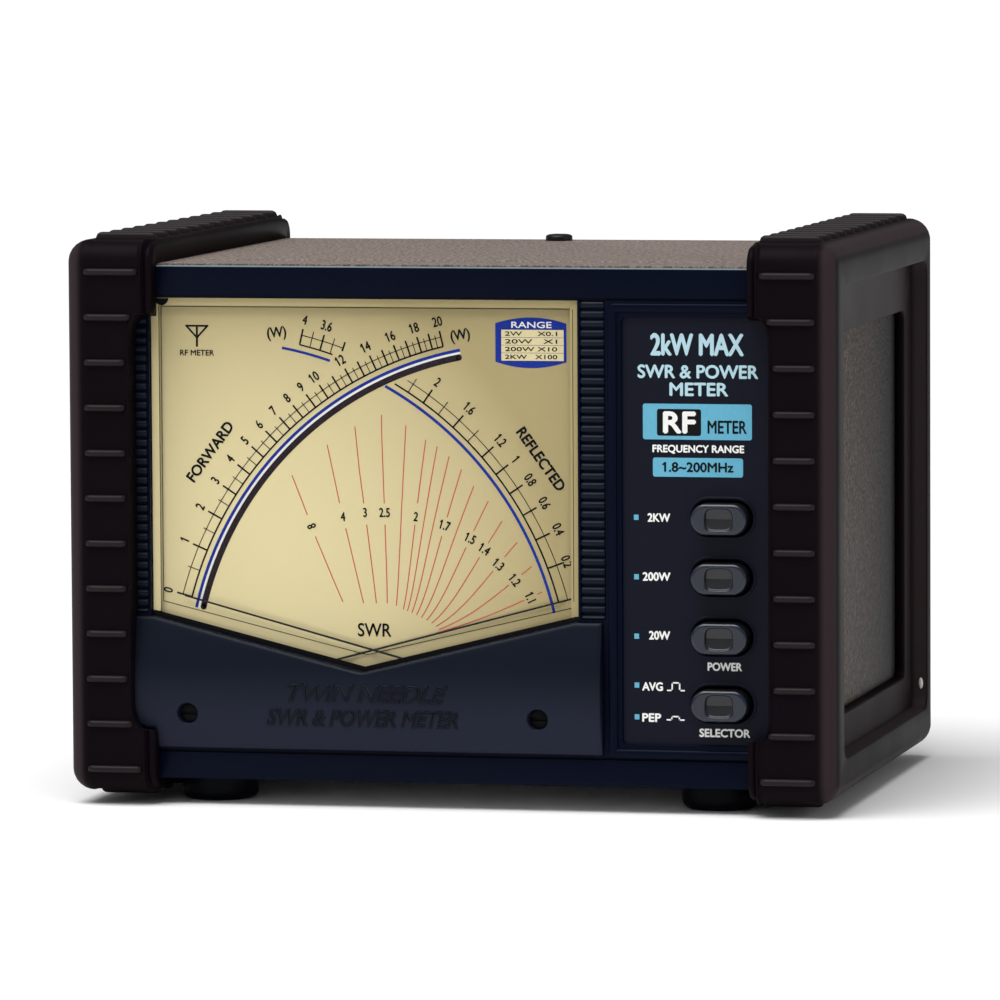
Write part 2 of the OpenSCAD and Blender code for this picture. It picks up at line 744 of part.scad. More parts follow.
module switch_screws() {
    color([0.7, 0.7, 0.72]) for (s = [-1, 1], z = switch_boss_z)
        translate([button_x + s * switch_boss_x, face_y + switch_back + board_t, z]) rotate([-90, 0, 0])
            small_screw(7);
}

// ---- electronics ----

module main_board() {
    color([0.15, 0.4, 0.25]) difference() {
        block([-52, 40, board_z], [52, 78, board_z + board_t]);
        for (x = [-45, 45], y = [44, 74]) translate([x, face_y + y, 0]) cylinder(h = 30, r = 1.6, $fn = 24);
    }
}

// Trimmers and capacitors on the main board
module board_parts() {
    top = board_z + board_t;
    color([0.2, 0.35, 0.75]) for (i = [0 : 3])
        block([-30 + 14 * i, 44, top], [-23.5 + 14 * i, 50.5, top + 5]);
    color([0.12, 0.12, 0.2]) for (i = [0 : 4])
        translate([-32 + 13 * i, face_y + 66, top]) cylinder(h = 10, r = 3.1, $fn = 24);
    color([0.1, 0.1, 0.1]) block([28, 52, top], [38, 58, top + 3]);
}

// Threaded pillars under the board, each with its screws as one turned piece
module board_pillars() {
    color([0.75, 0.72, 0.5]) for (x = [-45, 45], y = [44, 74]) translate([x, face_y + y, 0]) {
        translate([0, 0, tray_low + 0.2]) cylinder(h = board_z + 2.4 - tray_low, r = 1.5, $fn = 24);
        translate([0, 0, tray_top]) cylinder(h = board_z - tray_top, r = 3, $fn = 6);
        translate([0, 0, board_z + board_t]) cylinder(h = 1.4, r = 2.8, $fn = 24);
    }
}

// Tin box of the directional coupler, open at the rear panel
module coupler_box() {
    color([0.75, 0.76, 0.78]) difference() {
        block([-44, 84, socket_z - 16], [44, case_depth - sheet, socket_z + 16]);
        block([-43.2, 84.8, socket_z - 15.2], [43.2, case_depth, socket_z + 15.2]);
    }
}

// Through line between the two sockets
module coupler_line() {
    color([0.8, 0.65, 0.3]) {
        block([-socket_half - 3, 92, socket_z - 3], [socket_half + 3, 94, socket_z + 3]);
        for (s = [-1, 1]) bar_y(s * socket_half, socket_z, 1.2, 93.9, contact_y - 93.9);
    }
}

// Shell of a coaxial socket: square flange, threaded barrel and the boss through the panel
module coax_socket(x) {
    start = case_depth + flange_t;
    color([0.8, 0.8, 0.82]) difference() {
        union() {
            front_plate(case_depth, flange_t)
                polygon(rounded(x - 12.7, socket_z - 12.7, x + 12.7, socket_z + 12.7, 1.5));
            bar_y(x, socket_z, socket_r, start - 0.1, socket_len + 0.1);
            bar_y(x, socket_z, 7.2, case_depth - 3, 3.5);
        }
        bar_y(x, socket_z, socket_bore_r, case_depth - 5, socket_len + 10);
        for (a = [-1, 1], b = [-1, 1])
            bar_y(x + a * socket_bolt, socket_z + b * socket_bolt, shank_r + 0.1, case_depth - 1, 5);
    }
}

module socket_insulators() {
    start = case_depth + flange_t;
    color([0.93, 0.92, 0.88]) for (s = [-1, 1]) difference() {
        union() {
            bar_y(s * socket_half, socket_z, socket_bore_r, case_depth - 3, flange_t + 6);
            bar_y(s * socket_half, socket_z, 4.2, start + 2, socket_len - 5);
        }
        bar_y(s * socket_half, socket_z, contact_r, case_depth - 5, 30);
    }
}

// Centre contacts, each a tube that takes a plug's 4 mm pin
module socket_contacts() {
    last = case_depth + flange_t + socket_len - 1.5;
    color([0.85, 0.7, 0.35]) for (s = [-1, 1]) difference() {
        bar_y(s * socket_half, socket_z, contact_r, contact_y, last - contact_y);
        bar_y(s * socket_half, socket_z, 2.05, contact_y + 4, 30);
    }
}

module transmitter_socket() { coax_socket(socket_half); }
module antenna_socket() { coax_socket(-socket_half); }

module socket_screws() {
    color([0.75, 0.75, 0.77]) for (s = [-1, 1], a = [-1, 1], b = [-1, 1])
        translate([s * socket_half + a * socket_bolt, face_y + case_depth + flange_t,
            socket_z + b * socket_bolt])
            rotate([-90, 0, 0]) {
                cylinder(h = 1.4, r = 2.4, $fn = 24);
                translate([0, 0, -5]) cylinder(h = 5, r = shank_r, $fn = 24);
            }
}

// Coaxial power jack for the dial lamps
module power_jack() {
    color([0.1, 0.1, 0.1]) difference() {
        union() {
            bar_y(jack_x, jack_z, jack_hole_r - 0.05, case_depth - 10, 12);
            bar_y(jack_x, jack_z, 5.6, case_depth, 1.2);
        }
        bar_y(jack_x, jack_z, 2.75, case_depth - 8, 12);
    }
    color([0.8, 0.8, 0.82]) bar_y(jack_x, jack_z, 1.0, case_depth - 8.2, 9);
}

// ---- feet and screws ----

// Moulded foot with a rounded lower edge and the plug that holds it in the tray
module foot(x, y) {
    color([0.04, 0.05, 0.09]) translate([x, face_y + y, 0]) {
        rotate_extrude($fn = 48) polygon(concat([[0, 0]],
            [for (i = [0 : 6]) [foot_r - 2 + 2 * sin(15 * i), 2 - 2 * cos(15 * i)]],
            [[foot_r, tray_low], [0, tray_low]]));
        translate([0, 0, tray_low - 0.1]) cylinder(h = 2.6, r = 1.95, $fn = 24);
    }
}

module front_left_foot() { foot(-foot_x, foot_inset); }
module front_right_foot() { foot(foot_x, foot_inset); }
module rear_left_foot() { foot(-foot_x, case_depth - foot_inset); }
module rear_right_foot() { foot(foot_x, case_depth - foot_inset); }

module cover_screw() {
    color([0.1, 0.1, 0.1]) translate([0, face_y + case_depth - 5, steel_top]) screw(4);
}

module case_screws() {
    color([0.1, 0.1, 0.1]) for (s = [-1, 1], y = case_screw_y)
        translate([s * 60, face_y + y, bezel_low]) rotate([180, 0, 0]) screw(5);
}

// Screws that hold the bumpers and the rear panel from behind
module rear_screws() {
    color([0.1, 0.1, 0.1]) for (s = [-1, 1]) {
        for (z = bumper_screw_z)
            translate([s * bumper_screw_x, face_y + bumper_rear - 2, z]) rotate([-90, 0, 0]) screw(6.5);
        translate([s * rear_screw_x, face_y + case_depth, rear_screw_z]) rotate([-90, 0, 0]) screw(6.5);
    }
}

left_bumper();
right_bumper();
top_cover();
chassis_tray();
rear_panel();
front_bezel();
apron();
meter_window();
dial_plate();
meter_housing();
meter_screws();
lamp_holder();
dial_lamps();
forward_frame();
forward_core();
forward_coil();
forward_needle();
forward_hairspring();
forward_zero_screw();
forward_zero_lever();
reflected_frame();
reflected_core();
reflected_coil();
reflected_needle();
reflected_hairspring();
reflected_zero_screw();
reflected_zero_lever();
control_panel();
button_2kw();
button_200w();
button_20w();
button_selector();
plunger_2kw();
plunger_200w();
plunger_20w();
plunger_selector();
range_switch();
selector_switch();
switch_springs();
switch_board();
switch_screws();
main_board();
board_parts();
board_pillars();
coupler_box();
coupler_line();
transmitter_socket();
antenna_socket();
socket_insulators();
socket_contacts();
socket_screws();
power_jack();
front_left_foot();
front_right_foot();
rear_left_foot();
rear_right_foot();
cover_screw();
case_screws();
rear_screws();
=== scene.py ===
# %% [markdown]
# # A cross-needle power meter
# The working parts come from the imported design: case, window, needles, buttons, switches, sockets.
# This lesson dresses them. Each cell makes one visible piece or one finish, in millimetres, in the
# same frame as the design: +X to the right, +Y to the back, +Z up, the desk at Z = 0.

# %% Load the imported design
import json
import math
import bmesh
import bpy
import numpy as np
from mathutils import Matrix, Vector

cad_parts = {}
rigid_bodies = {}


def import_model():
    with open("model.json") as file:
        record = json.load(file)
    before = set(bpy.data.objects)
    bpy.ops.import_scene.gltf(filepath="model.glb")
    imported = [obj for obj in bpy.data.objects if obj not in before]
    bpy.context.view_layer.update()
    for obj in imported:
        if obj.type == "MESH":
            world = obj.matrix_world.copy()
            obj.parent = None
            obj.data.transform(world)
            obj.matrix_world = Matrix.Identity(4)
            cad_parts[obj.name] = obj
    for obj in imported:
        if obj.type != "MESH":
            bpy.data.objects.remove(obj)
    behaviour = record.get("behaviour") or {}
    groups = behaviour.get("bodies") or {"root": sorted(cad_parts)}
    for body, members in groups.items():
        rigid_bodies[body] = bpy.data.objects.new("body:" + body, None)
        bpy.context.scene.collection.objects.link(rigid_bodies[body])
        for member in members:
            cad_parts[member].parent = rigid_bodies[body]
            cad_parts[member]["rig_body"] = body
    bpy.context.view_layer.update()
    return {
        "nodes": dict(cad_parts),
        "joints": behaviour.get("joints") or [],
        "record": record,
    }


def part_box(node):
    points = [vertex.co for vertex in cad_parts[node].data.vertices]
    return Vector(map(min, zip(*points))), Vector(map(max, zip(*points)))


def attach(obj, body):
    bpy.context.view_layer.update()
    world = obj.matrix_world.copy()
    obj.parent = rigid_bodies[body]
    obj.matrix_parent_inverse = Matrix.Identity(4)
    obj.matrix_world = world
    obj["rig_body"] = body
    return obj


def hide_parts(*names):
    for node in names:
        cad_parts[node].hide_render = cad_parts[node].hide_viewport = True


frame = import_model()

MM = 0.001
print("the design holds", len(frame["nodes"]), "nodes")

# %% [markdown]
# ## Reading places from the design
# A piece that covers or replaces a node has to sit exactly on it. Reading the node's box keeps both
# together when the design changes, where typed positions would drift apart.

# %% Boxes of the nodes, in millimetres
def box_mm(node):
    """Lowest and highest corner of a node, as two arrays in millimetres."""
    low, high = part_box(node)
    return np.array(low) / MM, np.array(high) / MM


bezel_low, bezel_high = box_mm("front_bezel")
cover_low, cover_high = box_mm("top_cover")
window_low, window_high = box_mm("meter_window")
REAR_Y = box_mm("rear_panel")[1][1]
SIDE_X = box_mm("right_bumper")[1][0]
face_y = bezel_low[1]
meter_x = (window_low[0] + window_high[0]) / 2
print(f"bezel face at y = {face_y:.1f}, middle of the window at x = {meter_x:.1f}")

# %% [markdown]
# ## Putting arrays into a mesh
# Every new piece is worked out as arrays of points, so one helper writes them into Blender in a
# single call each for points and faces. That is far quicker than adding points one at a time.

# %% From arrays to a piece
def piece(name, points, faces, finish, body="case", instead_of=(), smooth=True, closed=True):
    """Makes a mesh from points in millimetres and a list or array of faces, and hangs it on a body.
    A closed piece has its doubled points merged and its faces turned outwards."""
    mesh = bpy.data.meshes.new(name)
    faces = faces.tolist() if isinstance(faces, np.ndarray) else faces
    mesh.from_pydata((np.asarray(points) * MM).tolist(), [], faces)
    if closed:
        work = bmesh.new()
        work.from_mesh(mesh)
        bmesh.ops.remove_doubles(work, verts=work.verts, dist=2e-6)
        bmesh.ops.recalc_face_normals(work, faces=work.faces)
        work.to_mesh(mesh)
        work.free()
    mesh.materials.append(finish)
    mesh.polygons.foreach_set("use_smooth", np.full(len(mesh.polygons), smooth))
    mesh.update()
    obj = bpy.data.objects.new(name, mesh)
    bpy.context.scene.collection.objects.link(obj)
    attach(obj, body)
    if instead_of:
        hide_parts(*instead_of)
    return obj


def grid_faces(rows, columns, loop_rows=False, loop_columns=False, first=0):
    """Quads between neighbouring points of a grid whose points are stored row by row."""
    r = np.arange(rows if loop_rows else rows - 1)
    c = np.arange(columns if loop_columns else columns - 1)
    r, c = [a.ravel() for a in np.meshgrid(r, c, indexing="ij")]
    r1, c1 = (r + 1) % rows, (c + 1) % columns
    return first + np.stack([r * columns + c, r * columns + c1, r1 * columns + c1, r1 * columns + c], 1)


def joined(parts):
    """Puts several (points, faces) pairs together, moving each one's face numbers past the last."""
    points, faces, count = [], [], 0
    for p, f in parts:
        points.append(np.asarray(p, float))
        faces += [[int(i) + count for i in face] for face in f]
        count += len(p)
    return np.concatenate(points), faces


def step(t, start, end):
    """Smooth rise from 0 before start to 1 after end: 3 t squared minus 2 t cubed."""
    s = np.clip((t - start) / (end - start), 0, 1)
    return s * s * (3 - 2 * s)


# %% [markdown]
# ## The camera
# A long lens a metre and a half away, a little to the right and above, gives the nearly parallel
# lines of a catalogue picture. It comes first, so that every later piece can be judged in its view.

# %% Long lens from the right and above
def look(position, yaw, pitch, roll, lens):
    """Camera at a point in mm. Yaw turns it left, pitch tips it down, roll turns it about its own axis."""
    data = bpy.data.cameras.new("camera")
    data.lens = lens
    data.sensor_width = 36
    data.clip_end = 20
    camera = bpy.data.objects.new("camera", data)
    ahead = np.array([-math.sin(yaw) * math.cos(pitch), math.cos(yaw) * math.cos(pitch), -math.sin(pitch)])
    level = np.array([math.cos(yaw), math.sin(yaw), 0])
    up = np.cross(level, ahead)
    right = level * math.cos(roll) + up * math.sin(roll)
    up = up * math.cos(roll) - level * math.sin(roll)
    turn = Matrix(np.stack([right, up, -ahead], 1).tolist()).to_4x4()
    turn.translation = (np.array(position) * MM).tolist()
    camera.matrix_world = turn
    bpy.context.scene.collection.objects.link(camera)
    bpy.context.scene.camera = camera


look([375.2, face_y - 1612.9, 200.4], yaw=0.2224, pitch=0.0812, roll=-0.0055, lens=284.4)

# %% [markdown]
# ## Writing a finish as arithmetic
# A shader is a sum: base colour plus grain, roughness plus scuffs. Wiring Math nodes by hand hides
# that, so this small class holds one socket and turns +, -, * and / into the nodes.

# %% Shader arithmetic
class Field:
    """A value that changes over a surface: one output socket of a finish's node tree."""

    def __init__(self, finish, socket):
        self.finish = finish
        self.socket = socket

    def math(self, operation, *others):
        """A Math node that works on this value and the others."""
        settings = {"operation": operation}
        made = self.finish.node("ShaderNodeMath", settings, dict(enumerate([self, *others])))
        return Field(self.finish, made.outputs[0])

    def __add__(self, other):
        return self.math("ADD", other)

    def __sub__(self, other):
        return self.math("SUBTRACT", other)

    def __rsub__(self, other):
        return self.math("MULTIPLY", -1).math("ADD", other)

    def __mul__(self, other):
        return self.math("MULTIPLY", other)

    def __truediv__(self, other):
        return self.math("DIVIDE", other)

    __radd__ = __add__
    __rmul__ = __mul__

    def rise(self, start, end):
        """0 below start and 1 above end, smooth between."""
        made = self.finish.node("ShaderNodeMapRange", {"interpolation_type": "SMOOTHSTEP"},
                                {"Value": self, "From Min": start, "From Max": end})
        return Field(self.finish, made.outputs[0])


class Finish:
    """A material built from a Principled shader, with short ways to its nodes."""

    def __init__(self, name, **constants):
        self.material = bpy.data.materials.new(name)
        self.material.use_nodes = True
        self.tree = self.material.node_tree
        self.tree.nodes.clear()
        self.shader = self.node("ShaderNodeBsdfPrincipled", {}, constants)
        self.node("ShaderNodeOutputMaterial", {}, {"Surface": self.shader.outputs[0]})
        place = self.node("ShaderNodeTexCoord", {}, {}).outputs["Object"]
        self.place = place
        axes = self.node("ShaderNodeSeparateXYZ", {}, {0: place}).outputs
        self.x, self.y, self.z = [Field(self, axis) / MM for axis in axes]

    def node(self, kind, settings, inputs):
        """Adds a node, makes its settings, then sets or links each of its sockets."""
        made = self.tree.nodes.new(kind)
        for key, value in settings.items():
            setattr(made, key, value)
        for key, value in inputs.items():
            if isinstance(value, Field):
                value = value.socket
            if isinstance(value, bpy.types.NodeSocket):
                self.tree.links.new(value, made.inputs[key])
            else:
                if key in ("Base Color", "A", "B", "Emission Color") and len(value) == 3:
                    value = (*value, 1)
                made.inputs[key].default_value = value
        return made

    def noise(self, size, detail=2, roughness=0.5):
        """Cloudy noise from 0 to 1 whose lumps are about size millimetres across."""
        made = self.node("ShaderNodeTexNoise", {}, {"Vector": self.place, "Scale": 1 / (size * MM),
                                                    "Detail": detail, "Roughness": roughness})
        return Field(self, made.outputs[0])

    def grains(self, size):
        """Rounded grains: distance from the middle of random cells size millimetres across."""
        made = self.node("ShaderNodeTexVoronoi", {}, {"Vector": self.place, "Scale": 1 / (size * MM)})
        return Field(self, made.outputs["Distance"])

    def blend(self, amount, low, high):
        """Colour between low and high, as amount goes from 0 to 1."""
        made = self.node("ShaderNodeMix", {"data_type": "RGBA", "clamp_factor": True},
                         {"Factor": amount})
        for socket, value in ((made.inputs[6], low), (made.inputs[7], high)):
            if isinstance(value, Field):
                self.tree.links.new(value.socket, socket)
            else:
                socket.default_value = (*value, 1)
        return Field(self, made.outputs[2])

    def feed(self, socket, value):
        """Links a field to one of the Principled shader's sockets."""
        self.tree.links.new(value.socket, self.shader.inputs[socket])

    def bump(self, height, depth, strength=1.0):
        """Turns a height field, counted in units of depth millimetres, into tilted normals."""
        made = self.node("ShaderNodeBump", {},
                         {"Height": height, "Distance": depth * MM, "Strength": strength})
        self.tree.links.new(made.outputs[0], self.shader.inputs["Normal"])


# %% [markdown]
# ## Moulded rubber
# The bumpers are dull black rubber with a faint brown cast. The mould was lightly blasted, so the
# skin has a fine grain, and handling leaves broad patches a little smoother than the rest. The
# rounded outer edges get a painted highlight: a paler colour where the light catches them.

# %% Bumper rubber
PAD_END = 78.15
EDGE_RADIUS = SIDE_X - PAD_END


def rubber(name, base, roughness, specular, edge_highlight):
    """Dull rubber with a painted highlight: paler along the bumpers' rounded outer edges, which are found by
    their X.
    """
    f = Finish(name, **{"Specular IOR Level": specular})
    patches = f.noise(18, 3)
    grain = f.noise(0.35, 3, 0.6)
    inset = (SIDE_X - f.x.math("ABSOLUTE")) / EDGE_RADIUS
    # painted highlight: mask of the rounded outer edge, where the paler edge colour replaces the rubber's own
    edge_highlight_mask = (1 - inset.rise(0.45, 0.85)) * inset.rise(0.01, 0.12) * (grain * 0.6 + 0.7)
    plain_colour = f.blend(patches, [c * 0.8 for c in base], [c * 1.25 for c in base])
    f.feed("Base Color", f.blend(edge_highlight_mask, plain_colour, edge_highlight))
    f.feed("Roughness", patches * 0.12 + grain * 0.08 + (roughness - 0.1))
    f.bump(grain + f.noise(1.6, 2) * 0.6, 0.03, 0.5)
    return f.material


# The last colour is the painted highlight on the rounded edges; for the feet it equals the base, so they get
# none.
bumper_rubber = rubber("bumper_rubber", (0.0046, 0.0026, 0.0040), 0.48, 0.03, (0.030, 0.021, 0.023))
# painted highlight: the ridges are the same rubber, given a paler base so their crests look lit
ridge_rubber = rubber("ridge_rubber", (0.0125, 0.0085, 0.0100), 0.42, 0.12, (0.020, 0.015, 0.016))
foot_rubber = rubber("foot_rubber", (0.0015, 0.0020, 0.0045), 0.5, 0.08, (0.0015, 0.0020, 0.0045))

# %% [markdown]
# ## Textured steel paint
# Instrument cases are sprayed with a wrinkle paint that hides scratches. Two sizes of grain, one in
# the colour and both in the bump, give the sandy look at any distance.

# %% Grey wrinkle paint
def wrinkle_paint(name, base, top):
    """Speckled paint: base on the sides, with painted shade darkening them towards the back, and a paler top
    colour on the cover's roof as painted light from above.
    """
    f = Finish(name, **{"Specular IOR Level": 0.15})
    grain = f.grains(0.9)
    lumps = f.noise(1.3, 3, 0.65)
    speckle = f.noise(0.8, 2, 0.7).rise(0.38, 0.66)
    side = f.blend(speckle, [c * 0.45 for c in base], [c * 1.9 for c in base])
    flank = f.x.math("ABSOLUTE").rise(cover_high[0] - 1.0, cover_high[0] - 0.4)
    # painted shade: the flanks go dark towards the back, where the side light falls off
    side = f.blend(f.y.rise(face_y + 20, face_y + 105) * flank * 0.9, side, (0.007, 0.011, 0.012))
    # painted light: the roof is the same paint, given the paler top colour because it is lit from above
    roof = f.blend(speckle, [c * 0.6 for c in top], [c * 1.5 for c in top])
    f.feed("Base Color", f.blend(f.z.rise(cover_high[2] - 0.6, cover_high[2] - 0.2), side, roof))
    f.feed("Roughness", lumps * 0.25 + 0.45)
    f.bump(grain * -0.7 + lumps, 0.2, 0.9)
    return f.material


# the second colour is the roof's painted light; the first is the paint's own colour on the sides
cover_paint = wrinkle_paint("cover_paint", (0.062, 0.044, 0.036), (0.195, 0.158, 0.140))

# %% [markdown]
# ## Moulded plastic
# Bezel, apron, panel and buttons are one family of satin plastic in darker and lighter navy. Broad
# noise moves the gloss, fine noise gives the mould's texture.

# %% Navy plastics
def moulded(name, base, roughness, grain=0.02, change=None, **constants):
    """Satin plastic. change = (axis, start, end, colour) turns the colour into another between two places."""
    f = Finish(name, **{"Specular IOR Level": 0.12, **constants})
    broad = f.noise(25, 2)
    fine = f.noise(0.3, 2, 0.6)
    colour = f.blend(broad, [c * 0.9 for c in base], [c * 1.12 for c in base])
    if change:
        axis, start, end, other = change
        colour = f.blend(getattr(f, axis).rise(start, end), colour, other)
    f.feed("Base Color", colour)
    f.feed("Roughness", broad * 0.08 + fine * 0.06 + (roughness - 0.07))
    f.bump(fine, grain, 0.4)
    return f.material


# painted highlight: the bezel's topmost faces turn pale blue-grey, standing for the light caught along its
# top edge
bezel_plastic = moulded("bezel_plastic", (0.0014, 0.0030, 0.0110), 0.34,
                        change=("z", bezel_high[2] - 0.3, bezel_high[2] - 0.1, (0.22, 0.27, 0.29)),
                        **{"Specular IOR Level": 0.05})
# painted shade: above Z 17 the apron goes darker towards its top edge
apron_plastic = moulded("apron_plastic", (0.0100, 0.0135, 0.028), 0.42, 0.03,
                        change=("z", 17.0, 32.0, (0.0026, 0.0052, 0.0125)))
letter_plastic = moulded("letter_plastic", (0.0046, 0.0062, 0.0125), 0.35, 0.02)
panel_plastic = moulded("panel_plastic", (0.0038, 0.0048, 0.0125), 0.45, 0.03)
# painted reflection: the scoop, deeper than the cap's face, is coloured grey to stand for its sheen
button_plastic = moulded("button_plastic", (0.0075, 0.0120, 0.0220), 0.25,
                         change=("y", face_y - 3.1, face_y - 2.5, (0.008, 0.009, 0.011)),
                         **{"Specular IOR Level": 0.5})
fin_plastic = moulded("fin_plastic", (0.0022, 0.0050, 0.0135), 0.4)
housing_plastic = moulded("housing_plastic", (0.75, 0.72, 0.66), 0.45)
switch_plastic = moulded("switch_plastic", (0.01, 0.01, 0.011), 0.35)
adjuster_plastic = moulded("adjuster_plastic", (0.0012, 0.0012, 0.0016), 0.5)
plunger_plastic = moulded("plunger_plastic", (0.72, 0.72, 0.68), 0.4)
insulator_plastic = moulded("insulator_plastic", (0.78, 0.75, 0.68), 0.3)

# %% [markdown]
# ## The side bumpers
# Each bumper is one moulding: a frame around the side of the case, seen as a rounded rectangle from
# the side. Its section is the same all round except for the inner edge, so the shape is a profile
# carried along a path. The path is the rounded rectangle; each point of the profile says how far in
# from the outer edge it lies and how far from the middle of the case. Three profiles share the
# path: the wide corner flanges, the narrow stretch of the lip between them, and the bars above and
# below.

# %% The path around a bumper
BUMPER_R = 4.8
LIP_Y = 5.0
CASE_REAR = REAR_Y - face_y
BUMPER_LOW, BUMPER_TOP = 2.9, 120.2
outer_rect = np.array([-LIP_Y, BUMPER_LOW, CASE_REAR + LIP_Y, BUMPER_TOP])
case_rect = np.array([0, 5.7, CASE_REAR, 115.1])
step_rect = np.array([5.7, 12.0, 108.6, 111.0])
steel_rect = np.array([16.9, 19.6, 99.0, 100.4])
INWARD = np.array([1, 1, -1, -1])
CUT_Z = np.array([16.3, 104.8])
CURVE_HIGH, CURVE_WIDE = 5.3, 2.85
straight_low, straight_top = BUMPER_LOW + BUMPER_R, BUMPER_TOP - BUMPER_R
# Extra points crowd near the square cuts, given as shares of the straight length.
near_cut = np.array([-0.5, -0.06, 0.06, 0.2, 0.45, 0.8, 1.3, 2.0, 3.0, 4.2])
near_cut = np.concatenate([CUT_Z[0] + near_cut, CUT_Z[1] - near_cut])
near_cut = (near_cut - straight_low) / (straight_top - straight_low)
UPRIGHT = np.unique(np.round(np.concatenate([np.linspace(0, 1, 80), near_cut, 1 - near_cut]), 6))


def around(rect, radius, sides=(UPRIGHT, 30), corner=8):
    """Rounded rectangle in Y and Z with the same number of points whatever its size: up the front,
    back along the top, down the rear, forward along the bottom. Each corner is a quarter circle.
    A side is divided evenly by a count, or at given shares of its length."""
    y0, z0, y1, z1 = rect
    quarter = np.linspace(0, math.pi / 2, corner)[1:-1]
    corners = [((y0 + radius, z1 - radius), math.pi, -1), ((y1 - radius, z1 - radius), math.pi / 2, -1),
               ((y1 - radius, z0 + radius), 0, -1), ((y0 + radius, z0 + radius), -math.pi / 2, -1)]
    starts = [(y0, z0 + radius), (y0 + radius, z1), (y1, z1 - radius), (y1 - radius, z0)]
    ends = [(y0, z1 - radius), (y1 - radius, z1), (y1, z0 + radius), (y0 + radius, z0)]
    out = []
    for k in range(4):
        t = np.linspace(0, 1, sides[k % 2])[:, None] if np.isscalar(sides[k % 2]) else sides[k % 2][:, None]
        out.append(np.array(starts[k]) * (1 - t) + np.array(ends[k]) * t)
        (cy, cz), first, turn = corners[k]
        a = first + turn * quarter
        out.append(np.stack([cy + radius * np.cos(a), cz + radius * np.sin(a)], 1))
    return np.concatenate(out)


def inset_rect(inset, limit=0.45):
    """The outer rectangle shrunk by inset, with its corner radius shrunk as well down to a limit."""
    return around(outer_rect + inset * INWARD, max(BUMPER_R - inset, limit))


path = inset_rect(0)
on_lip = step(path[:, 0], 2.5, -3.5) + step(path[:, 0], CASE_REAR - 2.5, CASE_REAR + 3.5)


def lip_shift(z):
    """How far the lip's bead moves in from its narrow stretch: a quarter ellipse that ends at
    the square cut of the corner flange."""
    s = np.clip(np.maximum(CUT_Z[0] + CURVE_HIGH - z, z - CUT_Z[1] + CURVE_HIGH) / CURVE_HIGH, 0, 1)
    return CURVE_WIDE * (1 - np.sqrt(1 - s ** 2))


at_corner = (path[:, 1] < CUT_Z[0]) | (path[:, 1] > CUT_Z[1])
print(len(path), "points around a bumper")

# %% [markdown]
# The profiles run from the wall against the case, over the inner edge, across the pad and round the
# outer edge. On the front lip the inner edge is a thin bead, with a groove and a tubular flange
# inside it at the corners. The three lists have the same length, so they can be mixed point by point.

# %% The profiles of a bumper
tab = [(5.0, 63.9), (1.9, 63.9), (1.15, 64.1), (0.8, 64.7), (0.85, 65.2), (1.25, 65.6), (1.3, 65.75),
       (0.3, 65.85), (-0.25, 65.95), (-0.4, 66.15), (-0.25, 66.35), (0.15, 66.5), (0.2, 67.1)]
thin = [(5.0, 68.5), (1.9, 68.5), (1.2, 68.52), (0.9, 68.55), (0.7, 68.58), (0.5, 68.6), (0.4, 68.62),
        (0.2, 68.68), (-0.25, 68.8), (-0.4, 69.0), (-0.25, 69.25), (0.15, 69.4), (0.2, 70.0)]
bar = [(5.1, 63.9), (1.8, 63.9), (1.2, 63.92), (0.9, 63.97), (0.6, 64.07), (0.4, 64.2), (0.25, 64.37),
       (0.12, 64.55), (0.05, 64.75), (0.02, 64.95), (0.0, 65.2), (0.1, 65.6), (0.18, 66.1)]
tab, thin, bar = [np.array(p) for p in (tab, thin, bar)]
shifted = thin[:, None] - np.stack([np.zeros(len(path)), lip_shift(path[:, 1])], 1)[None]
inner = np.where(at_corner[None, :, None], tab[:, None], shifted)
inner = inner * on_lip[None, :, None] + bar[:, None] * (1 - on_lip)[None, :, None]


def bumper_surface():
    """Rows of points: inner edge, pad, outer rounding, side wall, two window steps, and back along
    the case. Outer rounding: inset = r (1 - cos a), x = pad end + r sin a, for a from 0 to 90 degrees."""
    rows = []
    wall = around(case_rect, 0.5)
    rows.append(np.column_stack([inner[0, :, 1], wall]))
    shrunk = inset_rect(1.0, 3.0)
    for k in range(1, len(tab)):
        inward = inner[k, :, 0][:, None]
        rows.append(np.column_stack([inner[k, :, 1], path + (shrunk - path) * inward]))
    for x in (72.0, PAD_END - 0.6):
        rows.append(np.column_stack([np.full(len(path), x), inset_rect(0.2)]))
    for a in np.radians([0, 12, 25, 38, 52, 65, 78, 90]):
        ring = inset_rect(EDGE_RADIUS * (1 - math.cos(a)), 0.6)
        rows.append(np.column_stack([np.full(len(path), PAD_END + EDGE_RADIUS * math.sin(a)), ring]))
    soft = 0.6
    for x, rect, radius in [(SIDE_X, step_rect - soft * INWARD, 3.4),
                            (SIDE_X - 0.18, step_rect - 0.18 * INWARD, 3.1),
                            (SIDE_X - soft, step_rect, 3.0),
                            (SIDE_X - 3.2, step_rect + 0.1 * INWARD, 2.9),
                            (SIDE_X - 3.4, step_rect + 0.35 * INWARD, 2.7),
                            (SIDE_X - 3.4, steel_rect - 0.5 * INWARD, 2.4),
                            (SIDE_X - 3.55, steel_rect - 0.15 * INWARD, 2.1),
                            (SIDE_X - 3.9, steel_rect, 2.0),
                            (cover_high[0] + 0.02, steel_rect + 0.1 * INWARD, 1.9),
                            (cover_high[0] + 0.02, case_rect, 0.5)]:
        rows.append(np.column_stack([np.full(len(path), x), around(rect, radius)]))
    return np.array(rows)


surface = bumper_surface()
surface[..., 1] += face_y
print("bumper surface of", surface.shape[0], "rows and", surface.shape[1], "columns")

